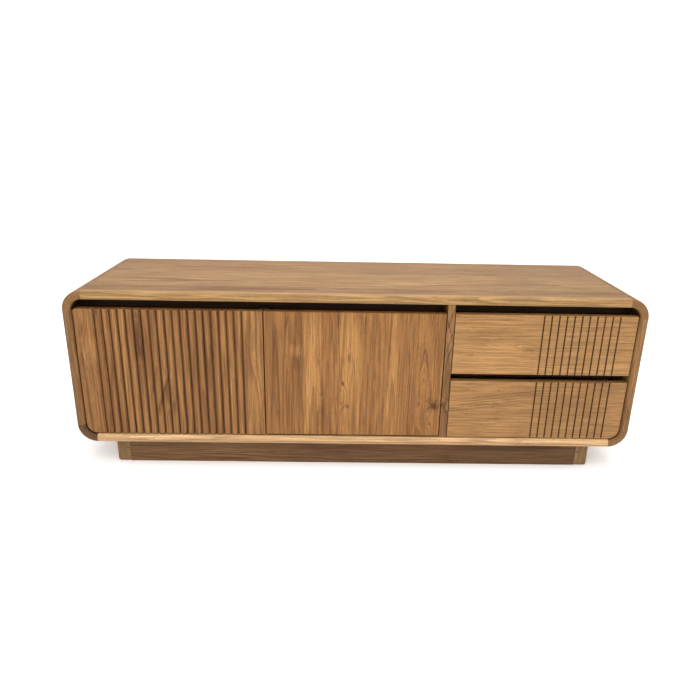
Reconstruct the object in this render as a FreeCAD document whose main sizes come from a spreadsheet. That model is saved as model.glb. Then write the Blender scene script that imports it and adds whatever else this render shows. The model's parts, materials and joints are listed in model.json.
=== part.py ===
import FreeCAD, Part
import math
import os
import re

import Sketcher

# Media cabinet: a rounded box shell on a pegged plinth, with two inset doors on
# concealed four-bar hinges and two drawers on ball-bearing runners.
# Frame: +Z up, +X to the right seen from the front, front towards -Y. The origin is
# on the floor, under the middle of the shell.  Millimetres.

SIZES = {
    # shell
    "shell_width": 1600,
    "shell_depth": 450,
    "shell_height": 450,
    "wall": 24,
    "corner_radius": 55,
    "front_arris": 9,
    "back_arris": 4,
    "spline_thickness": 6,
    "spline_width": 20,
    "spline_stop": 40,
    "overrun": 1,
    # divider between the door bay and the drawer bay
    "divider_offset": 256,
    "divider_thickness": 20,
    "divider_housing": 6,
    # doors and drawer fronts
    "front_setback": 7,
    "front_thickness": 20,
    "front_arris_small": 1.5,
    "side_gap": 2.5,
    "finger_gap": 26,
    "door_meeting_offset": 259,
    "door_meeting_gap": 3,
    "left_door_foot_gap": 3,
    "right_door_foot_gap": 5.5,
    "corner_ease": 0.5,
    "corner_clearance": 0.8,
    "door_top_corner_radius": 9,
    "rib_pitch": 21.07,
    "rib_groove_width": 9.5,
    "rib_groove_depth": 8,
    "rib_shoulder_radius": 2.8,
    "rib_first_offset": 55.8,
    "drawer_foot_gap": 2.5,
    "drawer_gap": 22,
    "drawer_front_step": 1.5,
    "reed_pitch": 21.05,
    "reed_width": 4.4,
    "reed_depth": 4,
    "reed_first_offset": 244.5,
    # drawer boxes
    "box_side_thickness": 12,
    "box_bottom_thickness": 6,
    "box_bottom_raise": 10,
    "box_groove_depth": 4,
    "box_housing": 8,
    "box_foot_gap": 15,
    "box_head_gap": 27,
    "box_back_gap": 5,
    # runners
    "runner_width": 12.7,
    "runner_height": 45,
    "runner_length": 350,
    "runner_front_gap": 4,
    "runner_gauge": 1.2,
    "runner_clearance": 0.3,
    "runner_fixed_lip": 9,
    "runner_middle_start": 2.6,
    "runner_middle_lip": 9.5,
    "runner_inner_lip": 5.4,
    "runner_nest": 3,
    "runner_screw_gap": 10,
    # rails behind the fronts
    "rail_thickness": 20,
    "top_rail_setback": 65,
    "door_rail_bearing": 19,
    "drawer_rail_bearing": 9,
    "mid_rail_setback": 47,
    "mid_rail_height": 20,
    # back
    "back_thickness": 10,
    "back_setback": 12,
    "batten": 18,
    "outlet_radius": 30,
    "outlet_height": 95,
    "outlet_spacing": 520,
    # shelf
    "shelf_thickness": 20,
    "shelf_height": 190,
    "shelf_front_gap": 60,
    "shelf_back_gap": 25,
    "shelf_end_gap": 1,
    "shelf_notch_width": 80,
    "shelf_notch_depth": 25,
    "pin_radius": 2.5,
    "pin_length": 18,
    "pin_sink": 9,
    "pin_inset": 50,
    # plinth
    "plinth_height": 80,
    "plinth_setback": 35,
    "plinth_side_setback": 94,
    "post": 40,
    "post_round": 8,
    "plinth_rail_thickness": 24,
    "plinth_rail_setback": 2,
    "plinth_rail_lift": 1,
    "tenon_length": 20,
    "tenon_thickness": 8,
    "tenon_margin": 15,
    "brace_lift": 20,
    "brace_tenon": 8,
    "peg_radius": 2.5,
    "peg_inset": 33,
    "front_peg_drop": 35,
    "side_peg_drop": 45,
    "peg_length": 22,
    "cleat": 20,
    "cleat_end_gap": 25,
    # screws
    "screw_radius": 2,
    "screw_head_radius": 4,
    "screw_head_depth": 2.4,
    "long_screw": 35,
    "back_screw": 25,
    "short_screw": 14,
    # concealed hinges: the door turns about a line in front of its own corner
    "hinge_corner_gap": 7,
    "pivot_outset": 1,
    "cup_radius": 17.5,
    "cup_depth": 12.5,
    "cup_gauge": 0.8,
    "cup_edge_distance": 21.5,
    "cup_flange_height": 54,
    "cup_flange_gauge": 1.4,
    "cup_screw_spacing": 45,
    "cup_pin_across": 29,
    "cup_pin_back": 16,
    "hinge_link": 32,
    "hinge_link_angle": 62,
    "hinge_pin_radius": 1.5,
    "hinge_pin_clearance": 0.05,
    "open_pivot_clearance": 0.3,
    "link_end_radius": 3,
    "link_gauge": 3,
    "link_gap": 0.3,
    "cheek_inner": 4.5,
    "cheek_outer": 6,
    "cheek_end_radius": 4.6,
    "plate_gauge": 3,
    "plate_start": 44,
    "plate_length": 36,
    "plate_height": 48,
    "plate_screw_spacing": 32,
    "arm_rise": 9,
    "arm_web": 1.6,
    "arm_shoulder": 12,
    "link_pin_end": 0.4,
    # magnetic catch
    "catch_width": 26,
    "catch_height": 22,
    "catch_raise": 1,
    "catch_gap": 0.5,
    "catch_slit_width": 3,
    "catch_slit_depth": 12,
    "catch_plate_gauge": 1,
    "catch_plate_width": 16,
    "catch_plate_height": 14,
    "catch_plate_drop": 2,
    "catch_plate_inset": 3,
}

RIB_COUNT = 20
REED_COUNT = 11
# Where screws stand, as shares of the length that they hold.
CLEAT_SCREW_SHARES = (0.15, 0.85)
RUNNER_SCREW_SHARES = (0.5, 0.9)
BACK_SCREW_SHARES = (-0.4, -0.2, 0, 0.2, 0.4)

# Faces that several pieces share, as expressions on the sizes.
FRONT = "(-shell_depth / 2)"
BACK = "(shell_depth / 2)"
LEFT_IN = "(-shell_width / 2 + wall)"
RIGHT_IN = "(shell_width / 2 - wall)"
TOP = "(plinth_height + shell_height)"
FLOOR = "(plinth_height + wall)"
CEILING = "(plinth_height + shell_height - wall)"
DIVIDER_LEFT = "(divider_offset - divider_thickness / 2)"
DIVIDER_RIGHT = "(divider_offset + divider_thickness / 2)"
FACE = "(-shell_depth / 2 + front_setback)"
FACE_BACK = "(-shell_depth / 2 + front_setback + front_thickness)"
FRONTS_TOP = "(plinth_height + shell_height - wall - finger_gap)"
BACK_FACE = "(shell_depth / 2 - back_setback - back_thickness)"
BATTEN_FACE = "(shell_depth / 2 - back_setback - back_thickness - batten)"
# The two drawer fronts share the height; the lower one is taller by the step.
UPPER_HEIGHT = ("((shell_height - 2 * wall - finger_gap - drawer_gap - drawer_foot_gap"
                " - drawer_front_step) / 2)")
UPPER_FOOT = f"({FRONTS_TOP} - {UPPER_HEIGHT})"
LOWER_TOP = f"({UPPER_FOOT} - drawer_gap)"
# The corner inside the shell, and what follows it: the fronts' own corners, the hinges' height.
INNER_RADIUS = "(corner_radius - wall)"
FRONT_CORNER = f"({INNER_RADIUS} - side_gap + corner_ease)"
HINGE_INSET = f"({INNER_RADIUS} + plate_height / 2 + hinge_corner_gap)"

DOC = FreeCAD.newDocument("media_cabinet")
SHEET = DOC.addObject("Spreadsheet::Sheet", "Sizes")
SUB_PARTS = []


def fill_sheet():
    """Writes every size into the sheet, with its alias."""
    for row, (alias, size) in enumerate(SIZES.items(), start=1):
        SHEET.set(f"A{row}", alias)
        SHEET.set(f"B{row}", str(size))
        SHEET.setAlias(f"B{row}", alias)
    DOC.recompute()


def named(text):
    """Puts the sheet's name before every alias in an expression."""
    def prefix(match):
        word = match.group()
        return f"Sizes.{word}" if word in SIZES else word
    return re.sub(r"[A-Za-z_]\w*", prefix, text)


def value(text):
    """Works an expression on the sizes out as a plain number."""
    return float(SHEET.evalExpression(named(text)))


def bind(thing, prop, text):
    """Binds a property to an expression on the sizes."""
    thing.setExpression(prop, named(text))


def place(thing, x, y, z, axis=(0, 0, 1), degrees=0):
    """Turns a thing about its own origin and binds where that origin stands."""
    thing.Placement = FreeCAD.Placement(FreeCAD.Vector(), FreeCAD.Rotation(FreeCAD.Vector(*axis), degrees))
    bind(thing, "Placement.Base.x", x)
    bind(thing, "Placement.Base.y", y)
    bind(thing, "Placement.Base.z", z)
    return thing


def sub_part(thing, label):
    """Marks a thing as a sub-part; its label names its file."""
    thing.Label = label
    SUB_PARTS.append(thing)
    return thing


# ---------------------------------------------------------------- primitives and booleans

def block(name, x, y, z):
    """A box between bound limits, a (low, high) pair for each axis."""
    box = DOC.addObject("Part::Box", name)
    for prop, (low, high) in zip(("Length", "Width", "Height"), (x, y, z)):
        bind(box, prop, f"({high}) - ({low})")
    return place(box, x[0], y[0], z[0])


TURNS = {"+x": ((0, 1, 0), 90), "-x": ((0, 1, 0), -90), "+y": ((1, 0, 0), -90),
         "-y": ((1, 0, 0), 90), "+z": ((0, 0, 1), 0), "-z": ((1, 0, 0), 180)}


def rod(name, start, way, radius, length):
    """A cylinder that starts at a point and runs one of the six ways."""
    cylinder = DOC.addObject("Part::Cylinder", name)
    bind(cylinder, "Radius", radius)
    bind(cylinder, "Height", length)
    axis, degrees = TURNS[way]
    return place(cylinder, *start, axis, degrees)


def fuse(name, pieces):
    """One solid from several that touch or overlap."""
    union = DOC.addObject("Part::MultiFuse", name)
    union.Shapes = pieces
    union.Refine = True
    return union


def group(name, pieces):
    """Separate solids kept together."""
    compound = DOC.addObject("Part::Compound", name)
    compound.Links = pieces
    return compound


def cut(name, base, tools):
    """Takes each tool out of the base, one after the other."""
    for number, tool in enumerate(tools):
        last = number == len(tools) - 1
        step = DOC.addObject("Part::Cut", name if last else f"{name}_{number}")
        step.Base = base
        step.Tool = tool
        base = step
    return base


def common(name, one, other):
    """What two solids share."""
    both = DOC.addObject("Part::Common", name)
    both.Base = one
    both.Tool = other
    return both


def screw(name, start, way, length, head_radius="screw_head_radius"):
    """A countersunk screw whose flat head lies on the surface at its start."""
    cone = DOC.addObject("Part::Cone", f"{name}_head")
    bind(cone, "Radius1", head_radius)
    bind(cone, "Radius2", "screw_radius")
    bind(cone, "Height", "screw_head_depth")
    axis, degrees = TURNS[way]
    place(cone, *start, axis, degrees)
    return fuse(name, [cone, rod(f"{name}_shank", start, way, "screw_radius", length)])


# ---------------------------------------------------------------- bodies made from sketches

def origin_feature(body, role):
    """One of a body's own origin planes or axes."""
    return next(item for item in body.Origin.OriginFeatures if item.Role == role)


def new_body(name, x="0", y="0", z="0", axis=(0, 0, 1), degrees=0):
    """An empty body with a bound place."""
    return place(DOC.addObject("PartDesign::Body", name), x, y, z, axis, degrees)


def bind_coordinate(sketch, geometry, point, axis, text):
    """Binds one coordinate, 0 for x or 1 for y, of a point of a sketch's geometry."""
    if text == "0":
        sketch.addConstraint(Sketcher.Constraint("PointOnObject", geometry, point, axis - 2))
    else:
        kind = ("DistanceX", "DistanceY")[axis]
        row = sketch.addConstraint(Sketcher.Constraint(kind, -1, 1, geometry, point, value(text)))
        sketch.setExpression(f"Constraints[{row}]", named(text))


def bind_radius(sketch, geometry, text):
    """Binds the radius of an arc or circle of a sketch."""
    row = sketch.addConstraint(Sketcher.Constraint("Radius", geometry, value(text)))
    sketch.setExpression(f"Constraints[{row}]", named(text))


def outline(body, role, corners, arcs=None, holes=()):
    """A closed sketch through bound corners, on one of the body's own planes.

    arcs gives, for a corner's number, (radius, side) of the arc from it to the next
    corner: side 1 bulges to the right of the way there, -1 to the left.  holes lists
    (x, y, radius) of circles.
    """
    sketch = body.newObject("Sketcher::SketchObject", f"{body.Name}_outline")
    sketch.AttachmentSupport = [(origin_feature(body, role), "")]
    sketch.MapMode = "FlatFace"
    arcs = arcs or {}
    points = [FreeCAD.Vector(value(x), value(y), 0) for x, y in corners]
    ends = []
    for number, start in enumerate(points):
        end = points[(number + 1) % len(points)]
        if number in arcs:
            radius, side = arcs[number]
            chord = end - start
            half = chord.Length / 2
            size = value(radius)
            rise = math.sqrt(max(size * size - half * half, 0))
            normal = FreeCAD.Vector(-chord.y, chord.x, 0).normalize()
            centre = (start + end) * 0.5 + normal * rise * side
            circle = Part.Circle(centre, FreeCAD.Vector(0, 0, 1), size)
            first, second = (start, end) if side > 0 else (end, start)
            angles = [math.atan2(p.y - centre.y, p.x - centre.x) for p in (first, second)]
            index = sketch.addGeometry(Part.ArcOfCircle(circle, *angles))
            if near(size, half):
                # a half circle: its ends give the radius, so its centre is held level with them
                level = 0 if near(chord.x, 0) else 1
                bind_coordinate(sketch, index, 3, level, corners[number][level])
            else:
                bind_radius(sketch, index, radius)
            ends.append((index, 1, 2) if side > 0 else (index, 2, 1))
        else:
            index = sketch.addGeometry(Part.LineSegment(start, end))
            ends.append((index, 1, 2))
    for number, (index, first, _) in enumerate(ends):
        before, _, last = ends[number - 1]
        sketch.addConstraint(Sketcher.Constraint("Coincident", before, last, index, first))
        for axis, text in enumerate(corners[number]):
            bind_coordinate(sketch, index, first, axis, text)
    for x, y, radius in holes:
        middle = FreeCAD.Vector(value(x), value(y), 0)
        index = sketch.addGeometry(Part.Circle(middle, FreeCAD.Vector(0, 0, 1), value(radius)))
        bind_radius(sketch, index, radius)
        for axis, text in enumerate((x, y)):
            bind_coordinate(sketch, index, 3, axis, text)
    return sketch


def rectangle(width, height):
    """The corners of a rectangle from the origin."""
    return [("0", "0"), (width, "0"), (width, height), ("0", height)]


def pad(body, sketch, length, backwards=False):
    """Raises a sketch into a solid of bound length."""
    feature = body.newObject("PartDesign::Pad", f"{body.Name}_pad")
    feature.Profile = sketch
    bind(feature, "Length", length)
    feature.Reversed = backwards
    DOC.recompute()
    return feature


def pocket_through(body, sketch, backwards=False):
    """Cuts a sketch through the whole solid, and checks that it cut."""
    before = body.Shape.Volume
    feature = body.newObject("PartDesign::Pocket", f"{body.Name}_pocket")
    feature.Profile = sketch
    feature.Type = "ThroughAll"
    feature.Reversed = backwards
    DOC.recompute()
    if body.Shape.Volume >= before:
        raise RuntimeError(f"the pocket in {body.Name} cuts nothing")
    return feature


def repeat_across(body, feature, pitch, count):
    """Repeats a feature along the body's own X axis."""
    pattern = body.newObject("PartDesign::LinearPattern", f"{body.Name}_pattern")
    pattern.Originals = [feature]
    pattern.Direction = (origin_feature(body, "X_Axis"), [""])
    bind(pattern, "Length", f"{pitch} * {count - 1}")
    pattern.Occurrences = count
    body.Tip = pattern
    DOC.recompute()
    return pattern


def round_edges(body, radius, wanted):
    """Fillets the edges of the body that a test picks out."""
    base = body.Tip
    edges = [f"Edge{number}" for number, edge in enumerate(base.Shape.Edges, start=1) if wanted(edge)]
    fillet = body.newObject("PartDesign::Fillet", f"{body.Name}_fillet")
    fillet.Base = (base, edges)
    bind(fillet, "Radius", radius)
    DOC.recompute()
    return fillet


def near(one, other):
    """Whether two lengths are the same within a hundredth of a millimetre."""
    return abs(one - other) < 0.01


def lies_at(edge, **limits):
    """Whether the whole edge lies at the given x, y or z of its body's own frame."""
    box = edge.BoundBox
    spans = {"x": (box.XMin, box.XMax), "y": (box.YMin, box.YMax), "z": (box.ZMin, box.ZMax)}
    return all(near(spans[key][0], at) and near(spans[key][1], at) for key, at in limits.items())


# ---------------------------------------------------------------- shell

def shell_board(name, length, x, z, upright=False):
    """A wall of the shell: rounded front arrises, lighter rounding at the back."""
    degrees = -90 if upright else 0
    body = new_body(f"{name}_blank", x, FRONT, z, (0, 1, 0), degrees)
    pad(body, outline(body, "YZ_Plane", rectangle("shell_depth", "wall")), length)
    depth = value("shell_depth")
    round_edges(body, "front_arris",
                lambda edge: lies_at(edge, y=0) and near(edge.Length, value(length)))
    round_edges(body, "back_arris",
                lambda edge: lies_at(edge, y=depth) and near(edge.Length, value(length)))
    return body


def corner_block(name, x, z, degrees):
    """A quarter ring that turns the shell's corner, with the walls' rounding."""
    body = new_body(f"{name}_blank", x, FRONT, z, (0, 1, 0), degrees)
    corners = [(INNER_RADIUS, "0"), ("corner_radius", "0"), ("0", "corner_radius"), ("0", INNER_RADIUS)]
    arcs = {1: ("corner_radius", 1), 3: (INNER_RADIUS, -1)}
    pad(body, outline(body, "XZ_Plane", corners, arcs), "shell_depth", backwards=True)
    depth = value("shell_depth")

    def is_arc(edge):
        return edge.Curve.TypeId == "Part::GeomCircle"

    round_edges(body, "front_arris", lambda edge: is_arc(edge) and lies_at(edge, y=0))
    round_edges(body, "back_arris", lambda edge: is_arc(edge) and lies_at(edge, y=depth))
    return body


def shell_splines():
    """Eight loose tongues, one across each joint between a wall and a corner block."""
    along = (f"{FRONT} + spline_stop", f"{BACK} - spline_stop")
    half_width = "spline_width / 2"
    half_thickness = "spline_thickness / 2"
    tongues = []
    for side, x_end in (("left", "(-shell_width / 2 + corner_radius)"),
                        ("right", "(shell_width / 2 - corner_radius)")):
        for level, z_mid in (("bottom", "(plinth_height + wall / 2)"), ("top", f"({TOP} - wall / 2)")):
            tongues.append(block(f"spline_{level}_{side}",
                                 (f"{x_end} - {half_width}", f"{x_end} + {half_width}"), along,
                                 (f"{z_mid} - {half_thickness}", f"{z_mid} + {half_thickness}")))
    for side, x_mid in (("left", "(-shell_width / 2 + wall / 2)"), ("right", "(shell_width / 2 - wall / 2)")):
        for level, z_end in (("bottom", "(plinth_height + corner_radius)"),
                             ("top", f"({TOP} - corner_radius)")):
            tongues.append(block(f"spline_{side}_{level}",
                                 (f"{x_mid} - {half_thickness}", f"{x_mid} + {half_thickness}"), along,
                                 (f"{z_end} - {half_width}", f"{z_end} + {half_width}")))
    return sub_part(group("corner_splines", tongues), "corner_splines")


def room_inside(name, clearance):
    """The rounded space inside the shell, less a clearance: it trims what is fitted there."""
    body = new_body(name, f"{LEFT_IN} + {clearance}", FRONT, f"{FLOOR} + {clearance}")
    width = f"(shell_width - 2 * wall - 2 * {clearance})"
    height = f"(shell_height - 2 * wall - 2 * {clearance})"
    pad(body, outline(body, "XZ_Plane", rectangle(width, height)), "shell_depth", backwards=True)
    round_edges(body, f"{INNER_RADIUS} - {clearance}",
                lambda edge: near(edge.Length, value("shell_depth")))
    return body


def shell(splines, divider, plinth_screws, shelf_pins, wall_screws):
    """Four walls and four corner blocks, cut for what is let into them."""
    long_wall = "shell_width - 2 * corner_radius"
    side_wall = "shell_height - 2 * corner_radius"
    left_end = "-shell_width / 2 + corner_radius"
    foot = "plinth_height + corner_radius"
    sub_part(cut("top_panel", shell_board("top_panel", long_wall, left_end, CEILING), [splines, divider]),
             "top_panel")
    sub_part(cut("bottom_panel", shell_board("bottom_panel", long_wall, left_end, "plinth_height"),
                 [splines, divider, plinth_screws]), "bottom_panel")
    sub_part(cut("left_side_panel", shell_board("left_side", side_wall, LEFT_IN, foot, True),
                 [splines, shelf_pins, wall_screws]), "left_side_panel")
    sub_part(cut("right_side_panel", shell_board("right_side", side_wall, "shell_width / 2", foot, True),
                 [splines, wall_screws]), "right_side_panel")
    for level, z in (("bottom", foot), ("top", f"{TOP} - corner_radius")):
        for side, x in (("left", left_end), ("right", "shell_width / 2 - corner_radius")):
            turn = {"top_right": 0, "top_left": -90, "bottom_left": 180, "bottom_right": 90}
            name = f"corner_{level}_{side}"
            blank = corner_block(name, x, z, turn[f"{level}_{side}"])
            sub_part(cut(name, blank, [splines]), name)


# ---------------------------------------------------------------- inside the shell

def back_pieces(room):
    """The back panel, the battens that it is screwed to, and the screws."""
    depth = (BATTEN_FACE, BACK_FACE)
    wide = (LEFT_IN, RIGHT_IN)
    tall = (f"{FLOOR} + batten", f"{CEILING} - batten")
    blanks = [block("batten_bottom_blank", wide, depth, (FLOOR, f"{FLOOR} + batten")),
              block("batten_top_blank", wide, depth, (f"{CEILING} - batten", CEILING)),
              block("batten_left_blank", (LEFT_IN, f"{LEFT_IN} + batten"), depth, tall),
              block("batten_right_blank", (f"{RIGHT_IN} - batten", RIGHT_IN), depth, tall)]
    trimmed = [common(blank.Name.replace("_blank", ""), blank, room) for blank in blanks]
    start = f"{BACK} - back_setback"
    screws = []
    for number, share in enumerate(BACK_SCREW_SHARES):
        x = f"{share} * (shell_width - 2 * corner_radius)"
        for level, z in (("low", f"{FLOOR} + batten / 2"), ("high", f"{CEILING} - batten / 2")):
            screws.append(screw(f"back_screw_{level}_{number}", (x, start, z), "-y", "back_screw"))
    middle = f"({FLOOR} + {CEILING}) / 2"
    for side, x in (("left", f"{LEFT_IN} + batten / 2"), ("right", f"{RIGHT_IN} - batten / 2")):
        screws.append(screw(f"back_screw_{side}", (x, start, middle), "-y", "back_screw"))
    fixings = sub_part(group("back_panel_screws", screws), "back_panel_screws")
    sub_part(cut("back_battens", group("battens", trimmed), [fixings]), "back_battens")
    sheet = block("back_blank", wide, (BACK_FACE, start), (FLOOR, CEILING))
    outlets = [rod(f"outlet_{number}", (f"(-door_meeting_offset) + {side} * outlet_spacing / 2",
                                        f"{BACK_FACE} - overrun", f"{FLOOR} + outlet_height"),
                   "+y", "outlet_radius", "back_thickness + 2 * overrun")
               for number, side in enumerate((-1, 1))]
    sub_part(cut("back_panel", common("back_trimmed", sheet, room), outlets + [fixings]), "back_panel")


def divider_blank():
    """The upright between the doors and the drawers, let into the top and the bottom."""
    return block("divider_blank", (DIVIDER_LEFT, DIVIDER_RIGHT), (FACE, BATTEN_FACE),
                 (f"{FLOOR} - divider_housing", f"{CEILING} + divider_housing"))


def rails(room):
    """Rails behind the fronts: over the doors, over the drawers and between the drawers."""
    depth = (f"{FRONT} + top_rail_setback", f"{FRONT} + top_rail_setback + rail_thickness")
    drawers = (DIVIDER_RIGHT, RIGHT_IN)
    door_rail = block("door_rail_blank", (LEFT_IN, DIVIDER_LEFT), depth,
                      (f"{CEILING} - {INNER_RADIUS} - door_rail_bearing", CEILING))
    sub_part(common("door_top_rail", door_rail, room), "door_top_rail")
    drawer_rail = block("drawer_rail_blank", drawers, depth,
                        (f"{CEILING} - {INNER_RADIUS} - drawer_rail_bearing", CEILING))
    sub_part(common("drawer_top_rail", drawer_rail, room), "drawer_top_rail")
    depth = (f"{FRONT} + mid_rail_setback", f"{FRONT} + mid_rail_setback + rail_thickness")
    middle = f"({UPPER_FOOT} - drawer_gap / 2)"
    sub_part(block("drawer_mid_rail", drawers, depth,
                   (f"{middle} - mid_rail_height / 2", f"{middle} + mid_rail_height / 2")),
             "drawer_mid_rail")


def shelf_pieces():
    """The shelf of the door bay, notched for cables, and the pins that it lies on."""
    under = f"({FLOOR} + shelf_height)"
    front = f"({FACE_BACK} + shelf_front_gap)"
    back = f"({BATTEN_FACE} - shelf_back_gap)"
    board = block("shelf_blank", (f"{LEFT_IN} + shelf_end_gap", f"{DIVIDER_LEFT} - shelf_end_gap"),
                  (front, back), (under, f"{under} + shelf_thickness"))
    notches = [block(f"shelf_notch_{number}",
                     (f"(-door_meeting_offset) + {side} * outlet_spacing / 2 - shelf_notch_width / 2",
                      f"(-door_meeting_offset) + {side} * outlet_spacing / 2 + shelf_notch_width / 2"),
                     (f"{back} - shelf_notch_depth", f"{back} + overrun"),
                     (f"{under} - overrun", f"{under} + shelf_thickness + overrun"))
               for number, side in enumerate((-1, 1))]
    sub_part(cut("shelf", board, notches), "shelf")
    pins = []
    for place_name, y in (("front", f"{front} + pin_inset"), ("back", f"{back} - pin_inset")):
        pins.append(rod(f"pin_left_{place_name}", (f"{LEFT_IN} - pin_sink", y, f"{under} - pin_radius"),
                        "+x", "pin_radius", "pin_length"))
        pins.append(rod(f"pin_right_{place_name}",
                        (f"{DIVIDER_LEFT} + pin_sink", y, f"{under} - pin_radius"),
                        "-x", "pin_radius", "pin_length"))
    return sub_part(group("shelf_pins", pins), "shelf_pins")


# ---------------------------------------------------------------- plinth

OUTER_X = "(shell_width / 2 - plinth_side_setback)"
OUTER_Y = "(shell_depth / 2 - plinth_setback)"


def plinth_posts(pegs, rail_sets):
    """Four posts, rounded where they show, mortised for the rails and bored for pegs."""
    height = value("plinth_height")
    width = value("post")
    for row, y_sign in (("front", -1), ("back", 1)):
        posts = []
        for side, x_sign in (("left", -1), ("right", 1)):
            # the body's own outer corner is at its origin corner, turned to face outwards
            degrees = {(-1, -1): 0, (1, -1): 90, (1, 1): 180, (-1, 1): 270}[(x_sign, y_sign)]
            body = new_body(f"post_{row}_{side}", f"{x_sign} * {OUTER_X}", f"{y_sign} * {OUTER_Y}", "0",
                            degrees=degrees)
            pad(body, outline(body, "XY_Plane", rectangle("post", "post")), "plinth_height")
            round_edges(body, "post_round",
                        lambda edge: lies_at(edge, x=0, y=0) and near(edge.Length, height)
                        or lies_at(edge, z=0, x=0) and near(edge.Length, width)
                        or lies_at(edge, z=0, y=0) and near(edge.Length, width))
            posts.append(cut(f"post_{row}_{side}_cut", body, rail_sets + [pegs]))
        sub_part(group(f"plinth_{row}_posts", posts), f"plinth_{row}_posts")


def plinth_rail(name, run, across, along_x):
    """A rail with a tenon at each end; run is its length between the posts."""
    height = ("plinth_rail_lift", "plinth_height")
    tenon_height = ("tenon_margin", "plinth_height - tenon_margin")
    middle = f"(({across[0]}) + ({across[1]})) / 2"
    tenon_run = (f"{run[0]} - tenon_length", f"{run[1]} + tenon_length")
    tenon_across = (f"{middle} - tenon_thickness / 2", f"{middle} + tenon_thickness / 2")
    if along_x:
        board = block(f"{name}_board", run, across, height)
        tenon = block(f"{name}_tenon", tenon_run, tenon_across, tenon_height)
    else:
        board = block(f"{name}_board", across, run, height)
        tenon = block(f"{name}_tenon", tenon_across, tenon_run, tenon_height)
    return fuse(f"{name}_blank", [board, tenon])


def plinth_pegs():
    """Eight round pegs that lock the tenons, four from the front or back, four from the sides."""
    pegs = []
    for row, y_sign in (("front", -1), ("back", 1)):
        for side, x_sign in (("left", -1), ("right", 1)):
            inward_y = "+y" if y_sign < 0 else "-y"
            inward_x = "+x" if x_sign < 0 else "-x"
            pegs.append(rod(f"peg_{row}_{side}",
                            (f"{x_sign} * ({OUTER_X} - peg_inset)", f"{y_sign} * {OUTER_Y}",
                             "plinth_height - front_peg_drop"), inward_y, "peg_radius", "peg_length"))
            pegs.append(rod(f"peg_side_{row}_{side}",
                            (f"{x_sign} * {OUTER_X}", f"{y_sign} * ({OUTER_Y} - peg_inset)",
                             "plinth_height - side_peg_drop"), inward_x, "peg_radius", "peg_length"))
    return sub_part(group("plinth_pegs", pegs), "plinth_pegs")


def plinth():
    """Posts, rails, brace, cleats and screws; gives back the screws for the shell's holes."""
    pegs = plinth_pegs()
    run_x = (f"-{OUTER_X} + post", f"{OUTER_X} - post")
    run_y = (f"-{OUTER_Y} + post", f"{OUTER_Y} - post")
    near_y = f"({OUTER_Y} - plinth_rail_setback - plinth_rail_thickness)"
    near_x = f"({OUTER_X} - plinth_rail_setback - plinth_rail_thickness)"
    far_y = f"({OUTER_Y} - plinth_rail_setback)"
    far_x = f"({OUTER_X} - plinth_rail_setback)"
    front_rail = plinth_rail("front_rail", run_x, (f"-{far_y}", f"-{near_y}"), True)
    back_rail = plinth_rail("back_rail", run_x, (near_y, far_y), True)
    side_rails = group("side_rail_blanks", [
        plinth_rail("left_rail", run_y, (f"-{far_x}", f"-{near_x}"), False),
        plinth_rail("right_rail", run_y, (near_x, far_x), False)])
    half = "plinth_rail_thickness / 2"
    brace = sub_part(block("plinth_brace", (f"-{half}", half),
                           (f"-{near_y} - brace_tenon", f"{near_y} + brace_tenon"),
                           ("brace_lift", "plinth_height")), "plinth_brace")
    sub_part(cut("plinth_front_rail", front_rail, [brace, pegs]), "plinth_front_rail")
    sub_part(cut("plinth_back_rail", back_rail, [brace, pegs]), "plinth_back_rail")
    sub_part(cut("plinth_side_rails", side_rails, [pegs]), "plinth_side_rails")
    plinth_posts(pegs, [front_rail, back_rail, side_rails])

    cleats = []
    screws = []
    for side, start, end in (("left", f"{run_x[0]} + cleat_end_gap", f"-{half} - cleat_end_gap"),
                             ("right", f"{half} + cleat_end_gap", f"{run_x[1]} - cleat_end_gap")):
        for row, low, high in (("front", f"-{near_y}", f"-{near_y} + cleat"),
                               ("back", f"{near_y} - cleat", near_y)):
            cleats.append(block(f"cleat_{row}_{side}", (start, end), (low, high),
                                ("plinth_height - cleat", "plinth_height")))
            for number, share in enumerate(CLEAT_SCREW_SHARES):
                spot = (f"({start}) + {share} * (({end}) - ({start}))", f"({low}) + cleat / 2",
                        "plinth_height - cleat")
                screws.append(screw(f"plinth_screw_{row}_{side}_{number}", spot, "+z", "long_screw"))
    fixings = sub_part(group("plinth_screws", screws), "plinth_screws")
    sub_part(cut("plinth_cleats", group("cleats", cleats), [fixings]), "plinth_cleats")
    return fixings


# ---------------------------------------------------------------- doors and hinges

class Bay:
    """One door's place: the wall that it hangs on and the way that it runs from there."""

    def __init__(self, name, wall_face, way, foot_gap):
        """wall_face is the wall's face, way is 1 when the door runs towards +X."""
        self.name = name
        self.wall_face = wall_face
        self.way = way
        self.edge = f"({wall_face} + {way} * side_gap)"
        self.meeting = f"(-door_meeting_offset - {way} * door_meeting_gap / 2)"
        self.width = f"({way} * ({self.meeting} - {self.edge}))"
        self.foot = f"({FLOOR} + {foot_gap})"
        self.levels = (f"({FLOOR} + {HINGE_INSET})", f"({FRONTS_TOP} - {HINGE_INSET})")

    def across(self, low, high, datum=None):
        """Limits along X, measured from the door's hinge edge or another datum."""
        datum = datum or self.edge
        ends = (f"{datum} + ({low})", f"{datum} + ({high})")
        return ends if self.way > 0 else (f"{datum} - ({high})", f"{datum} - ({low})")

    def at(self, distance):
        """A place along X, a distance in from the door's hinge edge."""
        return f"({self.edge} + {self.way} * ({distance}))"


BAYS = (Bay("left", LEFT_IN, 1, "left_door_foot_gap"),
        Bay("right", DIVIDER_LEFT, -1, "right_door_foot_gap"))

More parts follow.
